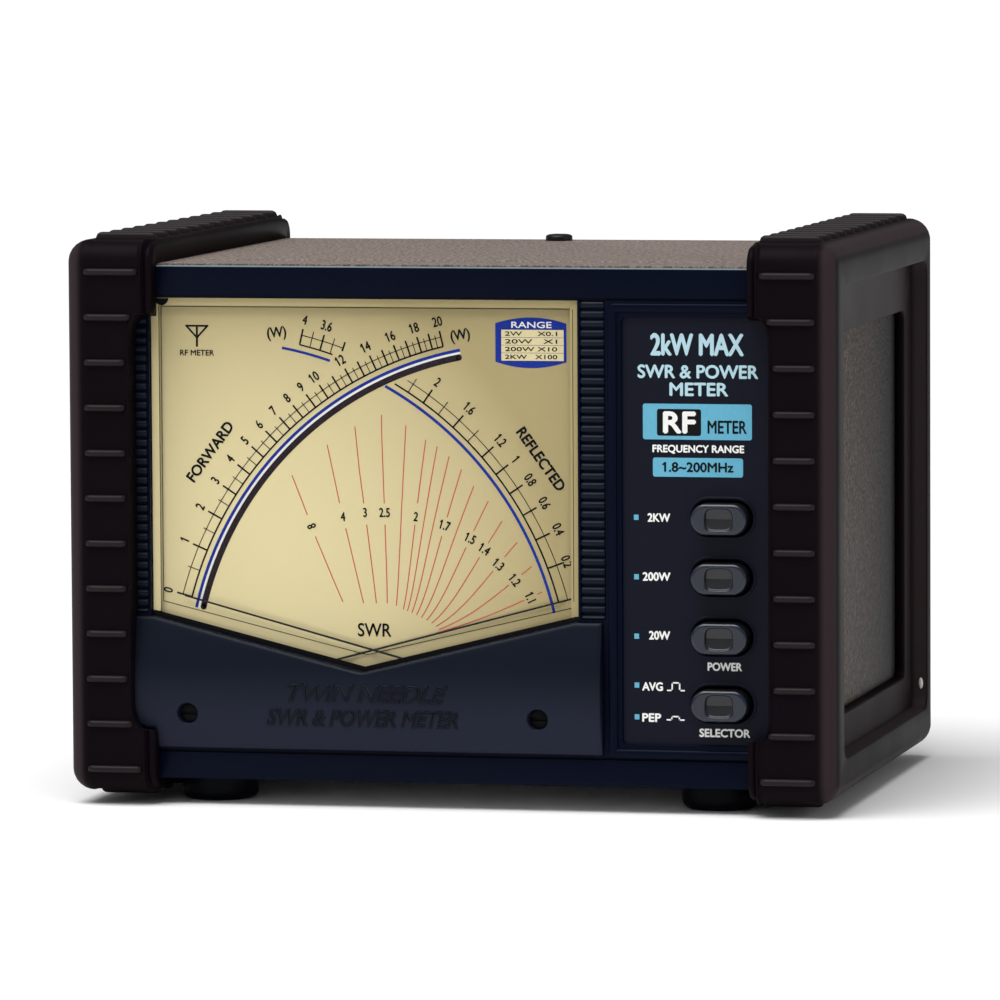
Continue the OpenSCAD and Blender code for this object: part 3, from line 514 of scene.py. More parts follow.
# %% [markdown]
# ## Grip ridges
# A row of soft bars stands a little proud of every pad. Each is a rounded bar whose ends taper off,
# like a half-sunk lozenge. One bar is a small grid, and the whole row is that grid moved along.

# %% Grip ridges
def lozenge(length, width, height, along=14, across=9):
    """Half-sunk rounded bar along X: its section is half a superellipse, its ends a quarter circle."""
    u = np.linspace(-1, 1, along)
    u = np.sign(u) * np.abs(u) ** 0.45
    past = np.clip((np.abs(u) * length / 2 - (length / 2 - width)) / width, 0, 1)
    end = np.sqrt(1 - past ** 2)
    v = np.linspace(0, math.pi, across)
    side = -np.cos(v) * width / 2
    rise = np.sin(v) ** 0.55 * height
    x = np.repeat(u[:, None] * length / 2, across, 1)
    s = np.outer(0.55 + 0.45 * end, side)
    h = np.outer(end, rise)
    return np.stack([x, s, h], -1).reshape(-1, 3), grid_faces(along, across)


RIDGES, RIDGE_WIDTH, SUNK = 12, 1.5, 0.3

def ridge_row(kind):
    """Bars along the front, rear, top or bottom pad of the right bumper. The bars of the front and rear
    start at the lip's bead. Those above and below are taller and start at the inner edge."""
    upright = kind in ("front", "rear")
    outside = PAD_END + 0.5
    parts = []
    for k in range(RIDGES):
        z = 7.9 + 9.6 * k
        y = 5.5 + 9.35 * k
        inside = 69.5 - float(lip_shift(z)) if upright else 64.9
        points, faces = lozenge(outside - inside, RIDGE_WIDTH, 1.15 if upright else 1.6)
        x, s, h = points[:, 0] + (outside + inside) / 2, points[:, 1], points[:, 2] - SUNK
        if kind == "front":
            placed = np.stack([x, -LIP_Y - h, z + s], 1)
        elif kind == "rear":
            placed = np.stack([x, CASE_REAR + LIP_Y + h, z - s], 1)
        elif kind == "top":
            placed = np.stack([x, y + s, BUMPER_TOP + h], 1)
        else:
            placed = np.stack([x, y - s, BUMPER_LOW - h], 1)
        placed[:, 1] += face_y
        parts.append((placed, faces))
    return joined(parts)


for side, sign in (("right", 1), ("left", -1)):
    flip = np.array([sign, 1, 1])
    rows, columns = surface.shape[:2]
    faces = grid_faces(rows, columns, loop_rows=True, loop_columns=True)
    piece(side + "_bumper_skin", surface.reshape(-1, 3) * flip, faces, bumper_rubber,
          instead_of=[side + "_bumper"])
    parts = [ridge_row(kind) for kind in ("front", "rear", "top", "bottom")]
    points, faces = joined(parts)
    piece(side + "_grip_ridges", points * flip, faces, ridge_rubber)

# %% [markdown]
# ## Softened edges on the design's own shapes
# Many nodes already have the right shape, but their edges are knife sharp, and real mouldings catch
# light on a small radius. A copy of the node has its loose triangles joined and its flat faces
# merged, and a Bevel modifier rounds what is left. The node itself is never touched.

# %% Softened copies
def softened(node, finish, width=0.25, segments=2):
    """Shows a bevelled copy in place of a node."""
    source = frame["nodes"][node]
    mesh = source.data.copy()
    work = bmesh.new()
    work.from_mesh(mesh)
    bmesh.ops.remove_doubles(work, verts=work.verts, dist=1e-6)
    bmesh.ops.dissolve_limit(work, angle_limit=math.radians(0.5), verts=work.verts, edges=work.edges)
    work.to_mesh(mesh)
    work.free()
    mesh.materials.clear()
    mesh.materials.append(finish)
    mesh.polygons.foreach_set("use_smooth", np.ones(len(mesh.polygons), bool))
    obj = bpy.data.objects.new(node + "_soft", mesh)
    bpy.context.scene.collection.objects.link(obj)
    bevel = obj.modifiers.new("edges", "BEVEL")
    bevel.width = width * MM
    bevel.segments = segments
    bevel.limit_method = "ANGLE"
    bevel.angle_limit = math.radians(35)
    bevel.harden_normals = True
    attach(obj, source["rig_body"])
    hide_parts(node)
    return obj


softened("front_bezel", bezel_plastic, 0.5, 3)
softened("top_cover", cover_paint, 0.3, 3)
softened("rear_panel", cover_paint, 0.2)
for foot in ("front_left_foot", "front_right_foot", "rear_left_foot", "rear_right_foot"):
    softened(foot, foot_rubber, 0.4, 3)
for adjuster in ("forward_zero_screw", "reflected_zero_screw"):
    softened(adjuster, adjuster_plastic, 0.15)

# %% [markdown]
# ## Pointers
# The design's pointer blades are flat arrows. On the real meter the part of the blade over the dial
# is hardly wider than a line of print, so the copy keeps the hub and narrows the rest: each point of
# the blade keeps its distance along the pointer and gets a new one across it.

# %% Narrow pointers
def narrow(obj, joint, angle, start=3.0, half=0.24, taper=0.06):
    """New distance across = half width less the taper times the share of the length travelled."""
    hub = np.array(joint["pos_m"])[[0, 2]] / MM
    ahead = np.array([math.cos(math.radians(angle)), math.sin(math.radians(angle))])
    side = np.array([-ahead[1], ahead[0]])
    flat = np.zeros(len(obj.data.vertices) * 3)
    obj.data.vertices.foreach_get("co", flat)
    flat = flat.reshape(-1, 3)
    rel = flat[:, [0, 2]] / MM - hub
    along, across = rel @ ahead, rel @ side
    wide = np.sign(across) * (half - taper * along / along.max())
    rel = along[:, None] * ahead + np.where(along > start, wide, across)[:, None] * side
    flat[:, [0, 2]] = (rel + hub) * MM
    obj.data.vertices.foreach_set("co", flat.ravel())
    obj.data.update()
    print("pointer length:", round(float(along.max()), 1))


hinges = {j["name"]: j for j in frame["joints"]}
needle_black = moulded("needle_black", (0.004, 0.004, 0.004), 0.5)
narrow(softened("forward_needle", needle_black, 0.04, 1), hinges["forward_swing"], 165)
narrow(softened("reflected_needle", needle_black, 0.04, 1), hinges["reflected_swing"], 15)

# %% [markdown]
# ## Fins beside the window
# Two narrow grilles of rounded fins flank the window. A fin's section is a flattened half circle, so
# one formula in Z covers the whole strip: depth = 1.2 times the square root of |sin|.

# %% Fins
FIN_PITCH = 2.0


def fins(name, x0, x1):
    """Corrugated strip between x0 and x1, closed at its ends and back."""
    z = np.arange(41.2, 107.7, FIN_PITCH / 10)
    y = 1.0 - 1.2 * np.abs(np.sin(math.pi * z / FIN_PITCH)) ** 0.5
    u = np.array([0, 0, 0.04, 0.12, 0.88, 0.96, 1, 1])
    inset = np.array([1, 0.45, 0.12, 0, 0, 0.12, 0.45, 1])
    back = np.array([1.2, 0, 0, 0, 0, 0, 0, 1.2])
    x = np.repeat((x0 + u * (x1 - x0))[:, None], len(z), 1)
    depth = np.where(back[:, None] > 0, 1.2, y[None, :] + inset[:, None] * 0.5)
    points = np.stack([x, depth + face_y, np.repeat(z[None, :], len(u), 0)], -1)
    piece(name, points.reshape(-1, 3), grid_faces(len(u), len(z), loop_rows=True), fin_plastic)
    return int((z[-1] - z[0]) / FIN_PITCH)


strip = meter_x + np.array([49.6 - 2.6, 49.6 + 2.6])
print("fins in a strip:", fins("right_fins", *strip), fins("left_fins", *(2 * meter_x - strip[::-1])))

# %% [markdown]
# ## Frames carried round a rectangle
# The rim of the control panel and the wells around the buttons are both a small profile carried
# round a rounded rectangle, the same idea as the bumper but in X and Z.

# %% Rims
def rim(name, rect, radius, profile, finish, corner=8):
    """Carries (inset, depth) points round a rectangle given as x0, z0, x1, z1."""
    rings = []
    for inset, depth in profile:
        ring = around(rect + inset * INWARD, max(radius - inset, 0.02), (3, 3), corner)
        rings.append(np.column_stack([ring[:, 0], np.full(len(ring), face_y + depth), ring[:, 1]]))
    points = np.array(rings)
    faces = grid_faces(*points.shape[:2], loop_rows=True, loop_columns=True)
    piece(name, points.reshape(-1, 3), faces, finish)


panel_rect = np.array([33.65, 11.8, 74.0, 107.4])
rim("panel_rim", panel_rect, 1.6,
    [(0, 0.15), (0.03, -0.3), (0.15, -0.5), (0.4, -0.6), (1.3, -0.6), (1.7, -0.5), (1.9, -0.25), (1.95, 0.0),
     (2.05, 0.08), (2.5, 0.08), (2.62, 0.16), (2.68, 0.35), (2.7, 0.8), (3.3, 0.82), (3.3, 1.4), (0.2, 1.4)],
    bezel_plastic)

# %% [markdown]
# ## The apron
# The apron below the window is a shallow barrel: its face swells forward between its top and bottom
# edges. Its top edge is a wide V. The grid runs along X and up Z; near the two adjusters the lines
# crowd together, and the face dips straight back into a pit there, which makes the holes without
# any cutting.

# %% Apron
apron_low, apron_high = box_mm("apron")
screw_low, screw_high = box_mm("forward_zero_screw")
hole_z = (screw_low[2] + screw_high[2]) / 2
hole_x = [meter_x - 38.0, meter_x + 38.0]
APRON_TOP = apron_high[2]
APRON_APEX = 29.0
V_HALF = 45.7


def apron_top(x):
    """Height of the apron's top edge: a straight V up to 5 mm from each end, then level."""
    slope = (APRON_TOP - APRON_APEX) / V_HALF
    return np.minimum(APRON_APEX + slope * np.abs(x - meter_x), APRON_TOP)


def apron_depth(x, z):
    """How far the face stands forward of the bezel: 1 mm plus 2.2 times half a sine wave in height,
    less a 0.5 mm rounding along the edges."""
    s = np.clip((z - apron_low[2]) / (APRON_TOP - apron_low[2]), 0, 1)
    swell = 1.0 + 2.2 * np.sin(math.pi * s)
    edge = np.clip(1 - (apron_top(x) - z) / 0.8, 0, 1)
    side = np.clip(1 - (np.minimum(x - apron_low[0], apron_high[0] - x)) / 0.8, 0, 1)
    low = np.clip(1 - (z - apron_low[2]) / 0.8, 0, 1)
    return swell - 0.5 * (1 - np.sqrt(1 - np.maximum(np.maximum(edge, side), low) ** 2))


def crowded(start, end, spots, coarse, fine, reach):
    """Numbers from start to end, coarse apart, with finer ones within reach of each spot."""
    steps = [np.arange(start, end, coarse), [end]]
    steps += [np.arange(s - reach, s + reach, fine) for s in spots]
    return np.unique(np.round(np.concatenate(steps), 4))


def apron():
    """Front face with its two pits, and a flat back, joined round the edge."""
    x = crowded(apron_low[0], apron_high[0], hole_x, 1.7, 0.13, 2.6)
    rounding = np.array([0.1, 0.3, 0.6])
    x = np.unique(np.concatenate([x, np.arange(-69.7, -63, 0.25), apron_low[0] + rounding,
                                  apron_high[0] - rounding, meter_x + np.array([-V_HALF, 0, V_HALF])]))
    z = crowded(0, 16.5, [hole_z - apron_low[2]], 0.6, 0.13, 2.6)
    z = np.unique(np.concatenate([z, [0.1, 0.3]]))
    up = np.concatenate([[0.01, 0.03, 0.06], np.linspace(0.1, 0.9, 9), [0.94, 0.97, 0.99, 1]])
    grid_x = np.repeat(x[:, None], len(z) + len(up), 1)
    low_part = np.repeat((apron_low[2] + z)[None, :], len(x), 0)
    rest = apron_top(x)[:, None] - (apron_low[2] + z[-1])
    grid_z = np.concatenate([low_part, apron_low[2] + z[-1] + rest * up[None, :]], 1)
    depth = apron_depth(grid_x, grid_z)
    for cx in hole_x:
        r = np.hypot(grid_x - cx, grid_z - hole_z)
        depth = depth - step(r, 2.45, 2.1) * 0.25 - step(r, 2.2, 2.0) * (depth + 0.3)
    lip_edge = -np.where(grid_z > CUT_Z[0], 68.5 - lip_shift(grid_z), 63.9) - 0.3
    depth = np.where(grid_x < lip_edge, -0.1, depth)
    front = np.stack([grid_x, face_y - depth, grid_z], -1)
    back = front.copy()
    back[..., 1] = face_y + 1.2
    rows, columns = front.shape[:2]
    n = rows * columns
    edge = np.concatenate([np.arange(columns), np.arange(1, rows) * columns + columns - 1,
                           (rows - 1) * columns + np.arange(columns - 2, -1, -1),
                           np.arange(rows - 2, 0, -1) * columns])
    turn = np.roll(edge, -1)
    walls = np.stack([edge, turn, turn + n, edge + n], 1)
    faces = np.concatenate([grid_faces(rows, columns), grid_faces(rows, columns, first=n)[:, ::-1], walls])
    return np.concatenate([front.reshape(-1, 3), back.reshape(-1, 3)]), faces


points, faces = apron()
piece("apron_face", points, faces, apron_plastic, instead_of=["apron"])
print("apron faces:", len(faces))

# %% [markdown]
# ## Words
# Words start as a text curve, which Blender fills with triangles. A helper gives those triangles back
# as plain arrays, scaled so that a capital has the wanted height, so printed words, moulded words and
# dial numbers all come from one place.

# %% Words as arrays
def raw_letters(text, slant=0.0, outline=0.0):
    """Points and faces of a word at font size 1, flat in X and Y. With an outline width, the letters
    are hollow, drawn by a thin round bead along their edges."""
    curve = bpy.data.curves.new("word", "FONT")
    curve.body = text
    curve.align_x = "CENTER"
    curve.shear = slant
    curve.resolution_u = 3 if outline else 4
    if outline:
        curve.fill_mode = "NONE"
        curve.bevel_depth = outline
        curve.bevel_resolution = 1
    obj = bpy.data.objects.new("word", curve)
    bpy.context.scene.collection.objects.link(obj)
    mesh = bpy.data.meshes.new_from_object(obj.evaluated_get(bpy.context.evaluated_depsgraph_get()))
    points = np.zeros(len(mesh.vertices) * 3)
    mesh.vertices.foreach_get("co", points)
    points = points.reshape(-1, 3)
    faces = [list(p.vertices) for p in mesh.polygons]
    bpy.data.objects.remove(obj)
    bpy.data.curves.remove(curve)
    bpy.data.meshes.remove(mesh)
    return (points, faces) if outline else (points[:, :2], faces)


CAPITAL = np.ptp(raw_letters("H")[0][:, 1])


def word(text, at, height, width=None, squeeze=0.8, bold=0.012, turn=0.0):
    """A flat word centred on a point (right, up), turned by an angle in degrees. width sets its length
    in millimetres; otherwise squeeze narrows it. Bold words are printed five times, a little apart. A
    leading 1 gets a small flag, so that it doesn't look like a scale mark. The third number of a point
    lifts each print a little above the one before, because faces in one plane would shade each other."""
    points, faces = raw_letters(text)
    points = np.column_stack([points, np.zeros(len(points))])
    if text[0] == "1":
        left = points[:, 0].min()
        flag = np.array([[left, CAPITAL, 0.03], [left - 0.13, CAPITAL * 0.82, 0.03],
                         [left - 0.13, CAPITAL * 0.7, 0.03], [left + 0.02, CAPITAL * 0.84, 0.03]])
        points, faces = joined([(points, faces), (flag, [[0, 1, 2, 3]])])
    middle = (points.max(0) + points.min(0)) / 2
    points = (points - [middle[0], CAPITAL / 2, 0]) * [height / CAPITAL, height / CAPITAL, 0.1]
    points[:, 0] *= squeeze if width is None else width / np.ptp(points[:, 0])
    b = bold * height / CAPITAL
    prints = [[0, 0, 0], [b, 0, 0.004], [-b, 0, 0.008], [0, b, 0.012], [0, -b, 0.016]][:5 if bold else 1]
    points, faces = joined([(points + shift, faces) for shift in np.array(prints)])
    c, s = math.cos(math.radians(turn)), math.sin(math.radians(turn))
    points[:, :2] = points[:, :2] @ np.array([[c, s], [-s, c]]) + at
    return points, faces


def block(x0, z0, x1, z1):
    """A flat rectangle."""
    return np.array([[x0, z0], [x1, z0], [x1, z1], [x0, z1]], float), [[0, 1, 2, 3]]


def band(points, width, keep=None):
    """A ribbon of even width along a line of points: each point moves half the width along the normal.
    Only the stretches between kept points are filled, and points that no face uses are left out."""
    points = np.asarray(points, float)
    ahead = np.gradient(points, axis=0)
    ahead /= np.linalg.norm(ahead, axis=1)[:, None]
    normal = np.stack([-ahead[:, 1], ahead[:, 0]], 1) * width / 2
    both = np.concatenate([points - normal, points + normal])
    n = len(points)
    k = np.arange(n - 1) if keep is None else np.flatnonzero(keep[:-1] & keep[1:])
    used, places = np.unique(np.stack([k, k + 1, k + 1 + n, k + n], 1), return_inverse=True)
    return both[used], places.reshape(-1, 4).tolist()


def label_box(x0, z0, x1, z1, radius=0.5):
    """A rectangle with rounded corners."""
    ring = around(np.array([x0, z0, x1, z1]), radius, (2, 2), 6)
    return ring, [list(range(len(ring)))]


def strokes(points, width):
    """Straight strokes from corner to corner, each drawn half a width longer at both ends."""
    out = []
    for a, b in zip(points[:-1], points[1:]):
        a, b = np.array(a, float), np.array(b, float)
        d = (b - a) / np.linalg.norm(b - a) * width / 2
        out.append(band([a - d, b + d], width))
    return out


def disc(at, radius, start=0.0, end=360.0, steps=24):
    """A flat disc or part of one."""
    a = np.radians(np.linspace(start, end, steps))
    ring = np.array(at) + radius * np.stack([np.cos(a), np.sin(a)], 1)
    return ring, [list(range(steps if end - start < 360 else steps - 1))]


def printed(name, parts, depth, finish):
    """Ink: flat parts in X and Z laid at one depth behind the bezel's face."""
    points, faces = joined([(np.column_stack([p[:, 0], face_y + depth - p[:, 2:].sum(1), p[:, 1]]), f)
                            for p, f in parts])
    return piece(name, points, faces, finish, smooth=False, closed=False)


# %% [markdown]
# ## Inks
# Screen-printed ink is flat, but never quite even. A little noise in colour and gloss keeps it from
# looking like a sticker of pure colour.

# %% Inks and the dial card
def ink(name, colour):
    """Flat ink whose colour and gloss vary a little."""
    f = Finish(name, **{"Specular IOR Level": 0.08})
    thin_ink, thick_ink = [c * 0.92 for c in colour], [min(c * 1.06, 1) for c in colour]
    f.feed("Base Color", f.blend(f.noise(0.8, 2), thin_ink, thick_ink))
    f.feed("Roughness", f.noise(3) * 0.1 + 0.5)
    return f.material


black_ink = ink("black_ink", (0.006, 0.006, 0.008))
blue_ink = ink("blue_ink", (0.012, 0.035, 0.30))
brown_ink = ink("brown_ink", (0.025, 0.017, 0.022))
red_ink = ink("red_ink", (0.60, 0.10, 0.075))
white_ink = ink("white_ink", (0.86, 0.86, 0.84))
cream_ink = ink("cream_ink", (0.80, 0.70, 0.40))
sky_ink = ink("sky_ink", (0.13, 0.42, 0.58))
pale_ink = ink("pale_ink", (0.45, 0.66, 0.74))


def card(name, base, painted_shade_colour):
    """Printed card with painted shade: it goes darker away from a point left of its middle. The amount of
    the shade colour is 0.72 times the squared distance, counted in an ellipse of 55 by 50 mm."""
    f = Finish(name, **{"Specular IOR Level": 0.12})
    cloud = f.noise(14, 3)
    fibre = f.noise(0.5, 3, 0.7)
    plain_colour = f.blend(cloud * 0.7 + fibre * 0.3, [c * 0.97 for c in base], [c * 1.03 for c in base])
    across, up = (f.x - (meter_x - 24)) / 55, (f.z - 55) / 50
    # painted shade: the card darkens away from that point, towards its top and right
    f.feed("Base Color", f.blend((across * across + up * up) * 0.72, plain_colour, painted_shade_colour))
    f.feed("Roughness", fibre * 0.1 + 0.5)
    f.bump(fibre, 0.004, 0.3)
    return f.material


# the second colour is the painted shade at the card's edges
dial_card = card("dial_card", (0.80, 0.695, 0.39), (0.448, 0.3684, 0.1794))

# %% [markdown]
# ## The two scales
# Each pointer turns about a pivot hidden below the apron, and its scale is a circle about that pivot.
# Power goes with the square of the voltage, so a pointer's angle follows a square root, softened
# near zero by the detector's diode. The pivots come from the design's joints, so the printed scale
# and the moving pointer always agree.

# %% Scale geometry
forward_pivot = np.array(hinges["forward_swing"]["pos_m"])[[0, 2]] / MM
reflected_pivot = np.array(hinges["reflected_swing"]["pos_m"])[[0, 2]] / MM
SWEEP = 61.5
REST = 15.0


def swing(power, full, diode):
    """Degrees of swing: sweep times (sqrt(p + d) - sqrt(d)) / (sqrt(1 + d) - sqrt(d)), p = power / full."""
    d = math.sqrt(diode)
    return SWEEP * (np.sqrt(np.asarray(power) / full + diode) - d) / (math.sqrt(1 + diode) - d)


def forward_angle(power):
    """Direction of the forward pointer at a power in watts. Zero lies on the left."""
    return 180 - REST - swing(power, 20, 0.03)


def reflected_angle(power):
    """The reflected scale opens out a little towards its end, by 0.35 degrees per watt squared."""
    return REST + swing(power, 4, 0.12) + 0.35 * np.minimum(power, 2.2) ** 2


def high_angle(power):
    """The short scale from 3.2 to 4 W is even: 8.7 degrees per watt."""
    return 77 - (4 - power) * 8.7


def polar(pivot, radius, angle):
    """Points at a radius and an angle in degrees from a pivot."""
    a = np.radians(angle)
    return pivot + np.stack([radius * np.cos(a), radius * np.sin(a)], -1)


def arc(pivot, radius, start, end, width):
    """A ribbon along a circle about a pivot."""
    angles = np.linspace(start, end, max(8, int(abs(end - start) * 1.5)))
    return band(polar(pivot, np.full(len(angles), radius), angles), width)


def tick(pivot, angle, inner_r, outer_r, width):
    """A short line that points at the pivot."""
    return band(polar(pivot, np.array([inner_r, outer_r]), np.array([angle, angle])), width)


MAIN_R, LINE_R, TIP_R, LABEL_R, BLUE_R, DARK_R = 75.2, 77.25, 78.6, 80.7, 73.75, 72.25
print("pivots:", forward_pivot, reflected_pivot)

# %% [markdown]
# ## Printing the dial
# Each colour is one flat mesh a few hundredths of a millimetre in front of the card, which keeps the
# edges sharp at any zoom. Black carries the arcs, ticks and numbers, then blue, brown and red.

# %% Black print of the dial
ends_f = [forward_angle(0), forward_angle(20)]
ends_r = [reflected_angle(0), reflected_angle(2.4)]
black = [arc(forward_pivot, MAIN_R, *ends_f, 0.34), arc(forward_pivot, LINE_R, *ends_f, 0.16),
         arc(reflected_pivot, MAIN_R, *ends_r, 0.34),
         arc(reflected_pivot, LINE_R, ends_r[0], ends_r[1] - 1.5, 0.16)]
for half_watts in range(41):
    power = half_watts / 2
    whole = half_watts % 2 == 0
    angle = forward_angle(power)
    black.append(tick(forward_pivot, angle, MAIN_R, TIP_R if whole else 77.9, 0.36 if whole else 0.17))
    if power in (*range(11), 12, 14, 16, 18, 20):
        black.append(word(f"{power:.0f}", polar(forward_pivot, LABEL_R - 0.1, angle), 1.95, squeeze=0.75,
                          bold=0.02, turn=angle - 90))
named = {watts: f"{watts:g}" for watts in (0.2, 0.4, 0.6, 0.8, 1.0, 1.2, 1.6, 2.0, 3.6, 4.0)}
for fifth in [*range(12), *range(16, 21)]:
    power = fifth / 5
    angle = reflected_angle(power) if power < 3 else high_angle(power)
    strong = power in named or power in (0, 3.2)
    inner_r = 76.6 if power == 3.2 else MAIN_R
    black.append(tick(reflected_pivot, angle, inner_r, TIP_R, 0.36 if strong else 0.18))
    if power in named:
        place = polar(reflected_pivot, LABEL_R - (1.1 if power < 0.3 else 0.1), angle)
        black.append(word(named[power], place, 1.95, squeeze=0.7, bold=0.02, turn=angle - 90))
high = [high_angle(3.35), high_angle(4)]
black += [arc(reflected_pivot, MAIN_R, *high, 0.3),
          arc(reflected_pivot, LINE_R, high_angle(3.2), high[1], 0.16)]


def dial(u, v):
    """Dial coordinates: right from the window's middle, up from the desk, both in millimetres."""
    return np.array([meter_x + u, v])


black += [word("(W)", dial(20.6, 100.4), 2.1, squeeze=0.85, bold=0.02, turn=10),
          word("(W)", dial(-19.2, 100.6), 2.1, squeeze=0.85, bold=0.02, turn=6),
          word("SWR", dial(1.7, 37.7), 2.7, squeeze=0.88, bold=0.014)]
for text, pivot, middle, length in (("FORWARD", forward_pivot, 143.6, 14.9),
                                    ("REFLECTED", reflected_pivot, 35.7, 15.3)):
    black.append(word(text, polar(pivot, 85.0, middle), 2.2, width=length, bold=0.03, turn=middle - 90))
left, right, top, low, apex = -44.4, 46.3, 105.9, 43.2, 32.4
border = [dial(right - 1, low), dial(0, apex), dial(left, low), dial(left, top), dial(right - 1, top)]
black += strokes(border, 0.14)

# %% [markdown]
# The fan of red lines joins the points where the two needles cross at one standing wave ratio s. The
# reflected power is then the forward power times the square of (s - 1) / (s + 1). Where the lines
# crowd towards s = 1 they start lower and reach further out. Each labelled line leaves a gap. The
# steepest line stands for an endless ratio, and an 8 on its side serves as its sign.

# %% Red lines of equal standing wave ratio
def crossing(forward, reflected):
    """Where the two needles cross: both lie on a line from their pivot, solved as two equations."""
    a, b = np.radians(forward), np.radians(reflected)
    gap_x = reflected_pivot[0] - forward_pivot[0]
    along = gap_x * np.sin(b) / (np.cos(a) * np.sin(b) - np.sin(a) * np.cos(b))
    return forward_pivot + np.stack([along * np.cos(a), along * np.sin(a)], -1)


LABELLED = (9.0, 4, 3, 2.5, 2, 1.7, 1.5, 1.4, 1.3, 1.2, 1.1)
UNLABELLED = (2.2, 1.9, 1.8, 1.6, 1.0)
red = []
power = np.geomspace(0.5, 46, 160)
for ratio in sorted(LABELLED + UNLABELLED, reverse=True):
    g = (ratio - 1) / (ratio + 1)
    line = crossing(forward_angle(power), reflected_angle(power * g * g))
    far_f = np.linalg.norm(line - forward_pivot, axis=1)
    far_r = np.linalg.norm(line - reflected_pivot, axis=1)
    label_r = 71.9 - 47 * g + 9.3 * g * g - 2.1 * math.exp(-((g - 0.5) / 0.22) ** 2)
    keep = (far_f < 68.2) & (far_r < 73.5 - 11 * g) & (line[:, 1] > min(36.4 + 17 * g, 43.3))
    if ratio in LABELLED:
        keep &= np.abs(far_r - label_r) > 1.35
        k = np.argmin(np.abs(far_r - label_r))
        heading = math.degrees(math.atan2(*(line[k + 1] - line[k - 1])[::-1]))
        text, turn = ("8", heading) if ratio > 8 else (f"{ratio:g}", heading - 90)
        black.append(word(text, line[k], 1.85, squeeze=0.74, bold=0.02,
                          turn=turn * (0.3 if 2.2 < ratio < 8 else 1)))
    red.append(band(line, 0.22, keep))
print("red lines:", len(red))

# %% [markdown]
# The range table is a small blue barrel with a cream table in it, and beside the forward scale lie
# the blue and brown guide arcs.

# %% Blue, brown, white and cream print
OVER = 1.5
blue = [arc(forward_pivot, BLUE_R, ends_f[0] + OVER, ends_f[1] - 2.6, 0.62),
        arc(reflected_pivot, BLUE_R, ends_r[0] - OVER, ends_r[1] + 1.2, 0.62),
        arc(reflected_pivot, BLUE_R, high_angle(3.36), high[1] + 2.8, 0.55)]
white = [arc(forward_pivot, 73.15, ends_f[0] + OVER, ends_f[1] - 2.6, 0.42)]
brown_ends = [ends_f[0] + 1.1, ends_f[1] - 2.2]
brown = [arc(forward_pivot, DARK_R, *brown_ends, 1.3)]
brown += [disc(polar(forward_pivot, DARK_R, a), 0.65) for a in brown_ends]
x0, x1 = 28.2, 43.5
u = np.linspace(x0, x1, 17)
bow = 1 - ((u - (x0 + x1) / 2) / ((x1 - x0) / 2)) ** 2
barrel = np.concatenate([np.stack([u, 94.75 - 1.3 * bow], 1), np.stack([u, 102.85 + 1.25 * bow], 1)[::-1]])
blue.append((barrel + [meter_x, 0], [list(range(len(barrel)))]))
table = (29.5, 95.0, 42.9, 101.5)
cream = [block(meter_x + table[0], table[1], meter_x + table[2], table[3])]
white.append(word("RANGE", dial(36, 102.55), 1.25, width=8.6, bold=0.02))
row = (table[3] - table[1]) / 4
for k, text in enumerate(("2W     X0.1", "20W   X1    ", "200W X10  ", "2KW   X100")):
    black.append(word(text, dial(35.9, table[3] - (k + 0.5) * row), 0.85, width=11.2, bold=0.025))
rules = [table[3] - k * row for k in (1, 2, 3)]
fine_blue = [block(meter_x + table[0], z - 0.04, meter_x + table[2], z + 0.04) for z in rules]
mast = dial(-36.6, 99.2)
black += strokes([mast + [0, -1.6], mast + [0, 2.3]], 0.45)
black += strokes([mast + [-2.3, 2.6], mast + [2.3, 2.6], mast + [0, 0.1], mast + [-2.3, 2.6]], 0.4)
black.append(word("RF METER", dial(-36.6, 96.1), 1.15, width=7.4, bold=0.02))
dial_front = box_mm("dial_plate")[0][1] - face_y
mask_depth = box_mm("meter_window")[1][1] - face_y - 0.04
mask_out, mask_in, mask_low, mask_top = 46.2, 44.6, 41.2, 107.8
mask = [block(meter_x - mask_out, mask_low, meter_x - mask_in, mask_top),
        block(meter_x + mask_in, mask_low, meter_x + mask_out, mask_top),
        block(meter_x - mask_in, 106.2, meter_x + mask_in, mask_top)]
printed("window_mask", mask, mask_depth, dial_card)
mask_marks_and_shadow = [band([dial(45.15, 44.5), dial(45.15, top)], 0.14), disc(dial(-43.9, 107.7), 1.5, 180, 360)]
v_edge = [(-mask_out, APRON_TOP), (-V_HALF, APRON_TOP), (0, APRON_APEX), (V_HALF, APRON_TOP),
          (mask_out, APRON_TOP)]
# painted shadow: a black band along the V edge stands for the dark gap between the dial and the apron's top
# edge
mask_marks_and_shadow.append(band([dial(across, up + 0.5) for across, up in v_edge], 1.1))
printed("mask_marks_and_shadow", mask_marks_and_shadow, mask_depth - 0.02, black_ink)
layers = [("dial_cream", cream, 0.04, cream_ink), ("dial_white", white, 0.05, white_ink),
          ("dial_blue", blue, 0.03, blue_ink), ("dial_fine_blue", fine_blue, 0.05, blue_ink),
          ("dial_brown", brown, 0.03, brown_ink), ("dial_red", red, 0.03, red_ink),
          ("dial_black", black, 0.06, black_ink)]
for name, parts, lift, paint in layers:
    printed(name, parts, dial_front - lift, paint)
print("dial words and lines in black:", len(black))

# %% [markdown]
# ## Printing the control panel
# The same flat parts serve the panel: white words, sky-blue labels and marks.

